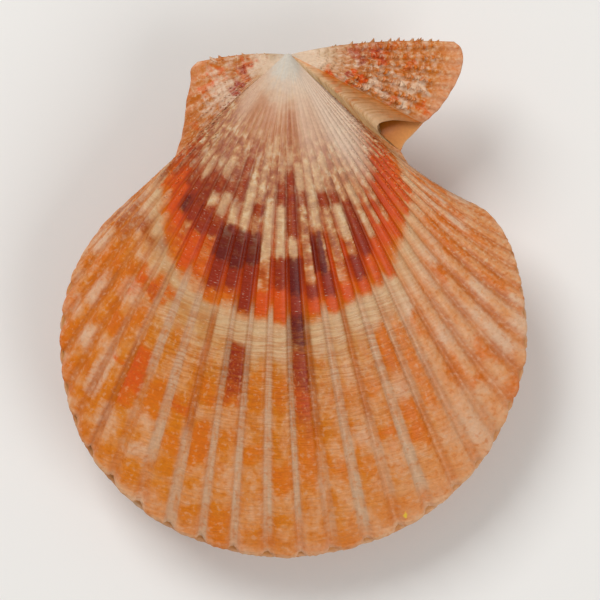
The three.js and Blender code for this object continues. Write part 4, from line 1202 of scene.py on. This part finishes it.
# Thin brown growth lines, strongest in the pale zone, then specks, flecks, bloom and glints
def addFineMarks(at, colour):
    lineZone = remap(at.share, 0.53, 0.58) * remap(at.share, 0.86, 0.66) + 0.06
    lineMask = at.lines * lineZone * remap(at.share, 0.12, 0.22) * remap(at.calm, 0, 1, 1, 0.45)
    speckle = shellNoise(at, 2.2, 3, 9, 3)
    fleck = shellNoise(at, 1.7, 5, 15, 3)
    bloom = remap(shellNoise(at, 0.55, 1.1, 4), 0.5, 0.75)
    colour = layered(colour, [
        ("lines", lineMask, "lineBrown"),
        ("paleSpecks", remap(speckle, 0.54, 0.7) * at.scaly, "cream"),
        ("darkSpecks", remap(speckle, 0.46, 0.3) * at.scaly, "lineBrown"),
        ("paleFlecks", remap(fleck, 0.52, 0.7) * at.outerHalf, "fleck"),
        # the dark flecks reuse the darker orange of the side grooves' painted shade
        ("darkFlecks", remap(fleck, 0.48, 0.3) * at.outerHalf, "sideGrooveShade"),
        ("bloom", bloom * at.outerHalf, "tan"),
    ])
    colour = cover(colour, at.glint, "glint")
    return cover(colour, remap(at.tip, 0.45, 1) * remap(at.fan, 0, 1, 0.22, 0.4), "cream")


def setShader(shader, values):
    for label, value in values.items():
        link(value, shader.inputs[label])


def shellMaterial(name, shift):
    material, tree, shader = newMaterial(name)
    at = shellFields(tree, shift)
    colour = addFineMarks(at, addFloors(at, addStains(at, groundColour(at))))
    # Inside surfaces take the inside ramp: their own colour, partly painted shade darker inward from the
    # margin
    colour = cover(ramp(at.share, palette["inside"]), remap(at.outside, 0.3, 0.55), colour)
    colour = cover(colour, remap(at.grit, 0.3, 0.6), "grit")
    value = remap(at.cloud.output("Grain"), 0.3, 0.7, 0.95, 1.05)
    rich = addNode(tree, "ShaderNodeHueSaturation",
                   {"Saturation": shellFinish["richness"], "Value": value, "Color": colour})
    height = at.lines * remap(at.calm, 0, 1, 0.5, 0.15) + at.grain * 0.5 + at.glint * 0.6
    height = height * remap(at.outside, 0.2, 0.6, 0.1) * remap(at.share, 0.1, 0.3, 0.1)
    bump = addNode(tree, "ShaderNodeBump", {"Strength": shellFinish["bumpStrength"],
                                            "Distance": shellFinish["bumpDepth"] * mm, "Height": height})
    setShader(shader, {
        "Base Color": rich, "Normal": bump, "Roughness": at.grain * 0.22 - at.glint * 0.2 + 0.36,
        "Specular IOR Level": shellFinish["specular"], "Coat Weight": shellFinish["coat"],
        "Coat Roughness": shellFinish["coatRoughness"],
    })
    return material


# The ligament: dark brown, dull and finely fibrous
ligamentLook = {
    "colours": [(0.3, "2a1810"), (0.7, "4a2e1e")], "fibres": 1800, "bumpStrength": 0.4, "bumpDepth": 0.1,
    "roughness": 0.6,
}


def ligamentMaterial():
    material, tree, shader = newMaterial("ligament")
    noise = grainNoise(tree, ligamentLook["fibres"], 3)
    bump = addNode(tree, "ShaderNodeBump", {"Strength": ligamentLook["bumpStrength"],
                                            "Distance": ligamentLook["bumpDepth"] * mm, "Height": noise})
    setShader(shader, {"Base Color": ramp(noise, ligamentLook["colours"]), "Normal": bump,
                       "Roughness": ligamentLook["roughness"]})
    return material


# From a valve's own frame to the frame of the part: the left valve is turned over, and both lie on the floor
def laidDown(isRight):
    flip = Matrix.Diagonal((1, 1, 1 if isRight else -1, 1))
    pitch = Matrix.Rotation(math.radians(restPose["pitch"]), 4, "X")
    roll = Matrix.Rotation(math.radians(restPose["roll"]), 4, "Y")
    return Matrix.Translation(Vector(restPose["umbo"]) * mm) @ pitch @ roll @ flip


growValve = growValveTree()
shellScales = scaleTree()
growthLines = growthLineGroup()
ribCells = ribCellGroup()
brokenMask = brokenMaskGroup()
cloudNoise = cloudGroup()
print("node trees ready")

for nodeName, pieceName, finishName, shift in (("right_valve", "valveRight", "rightShell", 0.0),
                                               ("left_valve", "valveLeft", "leftShell", 21.0)):
    isRight = nodeName == "right_valve"
    for piece in makeValve(pieceName, isRight, shellMaterial(finishName, shift)):
        piece.data.transform(laidDown(isRight))
        if not isRight:
            piece.data.flip_normals()
            for vertex in piece.data.vertices:
                vertex.co.z = max(vertex.co.z, 0)
        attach(piece, "root")
        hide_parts(nodeName)
        print(piece.name, "has", sum(len(p.vertices) - 2 for p in piece.data.polygons), "triangles")

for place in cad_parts["ligament"].material_slots:
    place.material = ligamentMaterial()
print("ligament finished")

# The floor, the camera at the photograph's angle and the soft studio light; pixels are the photograph's
stage = {
    "floorColour": (0.82, 0.81, 0.79, 1), "floorRoughness": 0.8, "floorReach": 3, "floorDrop": 0.03,
    "cameraDistance": 0.6, "framePixel": 0.1181, "frameSize": 600, "umboPixel": (288, 53), "aimHeight": 5,
    "sensor": 36, "worldColour": (1, 0.97, 0.93, 1), "worldStrength": 0.36,
    "keyLight": {"place": (-0.3, 0.4, 0.6), "size": 0.4, "watts": 3.6},
    "fillLight": {"place": (0.45, -0.35, 0.6), "size": 0.5, "watts": 2.5},
}


def makeFloor():
    mesh = bpy.data.meshes.new("floor")
    far, low = stage["floorReach"], -stage["floorDrop"] * mm
    corners = [(-far, -far, low), (far, -far, low), (far, far, low), (-far, far, low)]
    mesh.from_pydata(corners, [], [(0, 1, 2, 3)])
    floor = bpy.data.objects.new("floor", mesh)
    bpy.context.scene.collection.objects.link(floor)
    material, _, shader = newMaterial("paleFloor")
    setShader(shader, {"Base Color": stage["floorColour"], "Roughness": stage["floorRoughness"]})
    mesh.materials.append(material)


def makeCamera():
    data = bpy.data.cameras.new("camera")
    camera = bpy.data.objects.new("camera", data)
    bpy.context.scene.collection.objects.link(camera)
    pose = laidDown(True)
    right, down = (stage["frameSize"] / 2 - pixel for pixel in stage["umboPixel"])
    middle = Vector((right * stage["framePixel"], -down * stage["framePixel"], stage["aimHeight"])) * mm
    camera.location = pose @ middle + pose.to_3x3() @ Vector((0, 0, stage["cameraDistance"]))
    camera.rotation_euler = pose.to_3x3().to_euler()
    data.sensor_width = stage["sensor"]
    data.lens = stage["sensor"] * stage["cameraDistance"] / (stage["frameSize"] * stage["framePixel"] * mm)
    data.clip_start = 0.01
    bpy.context.scene.camera = camera
    bpy.context.scene.view_settings.view_transform = "Standard"


def makeLights():
    world = bpy.data.worlds.new("studio")
    world.use_nodes = True
    background = world.node_tree.nodes["Background"]
    setShader(background, {"Color": stage["worldColour"], "Strength": stage["worldStrength"]})
    bpy.context.scene.world = world
    for name in ("keyLight", "fillLight"):
        data = bpy.data.lights.new(name, "AREA")
        data.size = stage[name]["size"]
        data.energy = stage[name]["watts"]
        light = bpy.data.objects.new(name, data)
        light.location = stage[name]["place"]
        light.rotation_euler = (-Vector(stage[name]["place"])).to_track_quat("-Z", "Y").to_euler()
        bpy.context.scene.collection.objects.link(light)


makeFloor()
makeCamera()
makeLights()
print("stage ready")
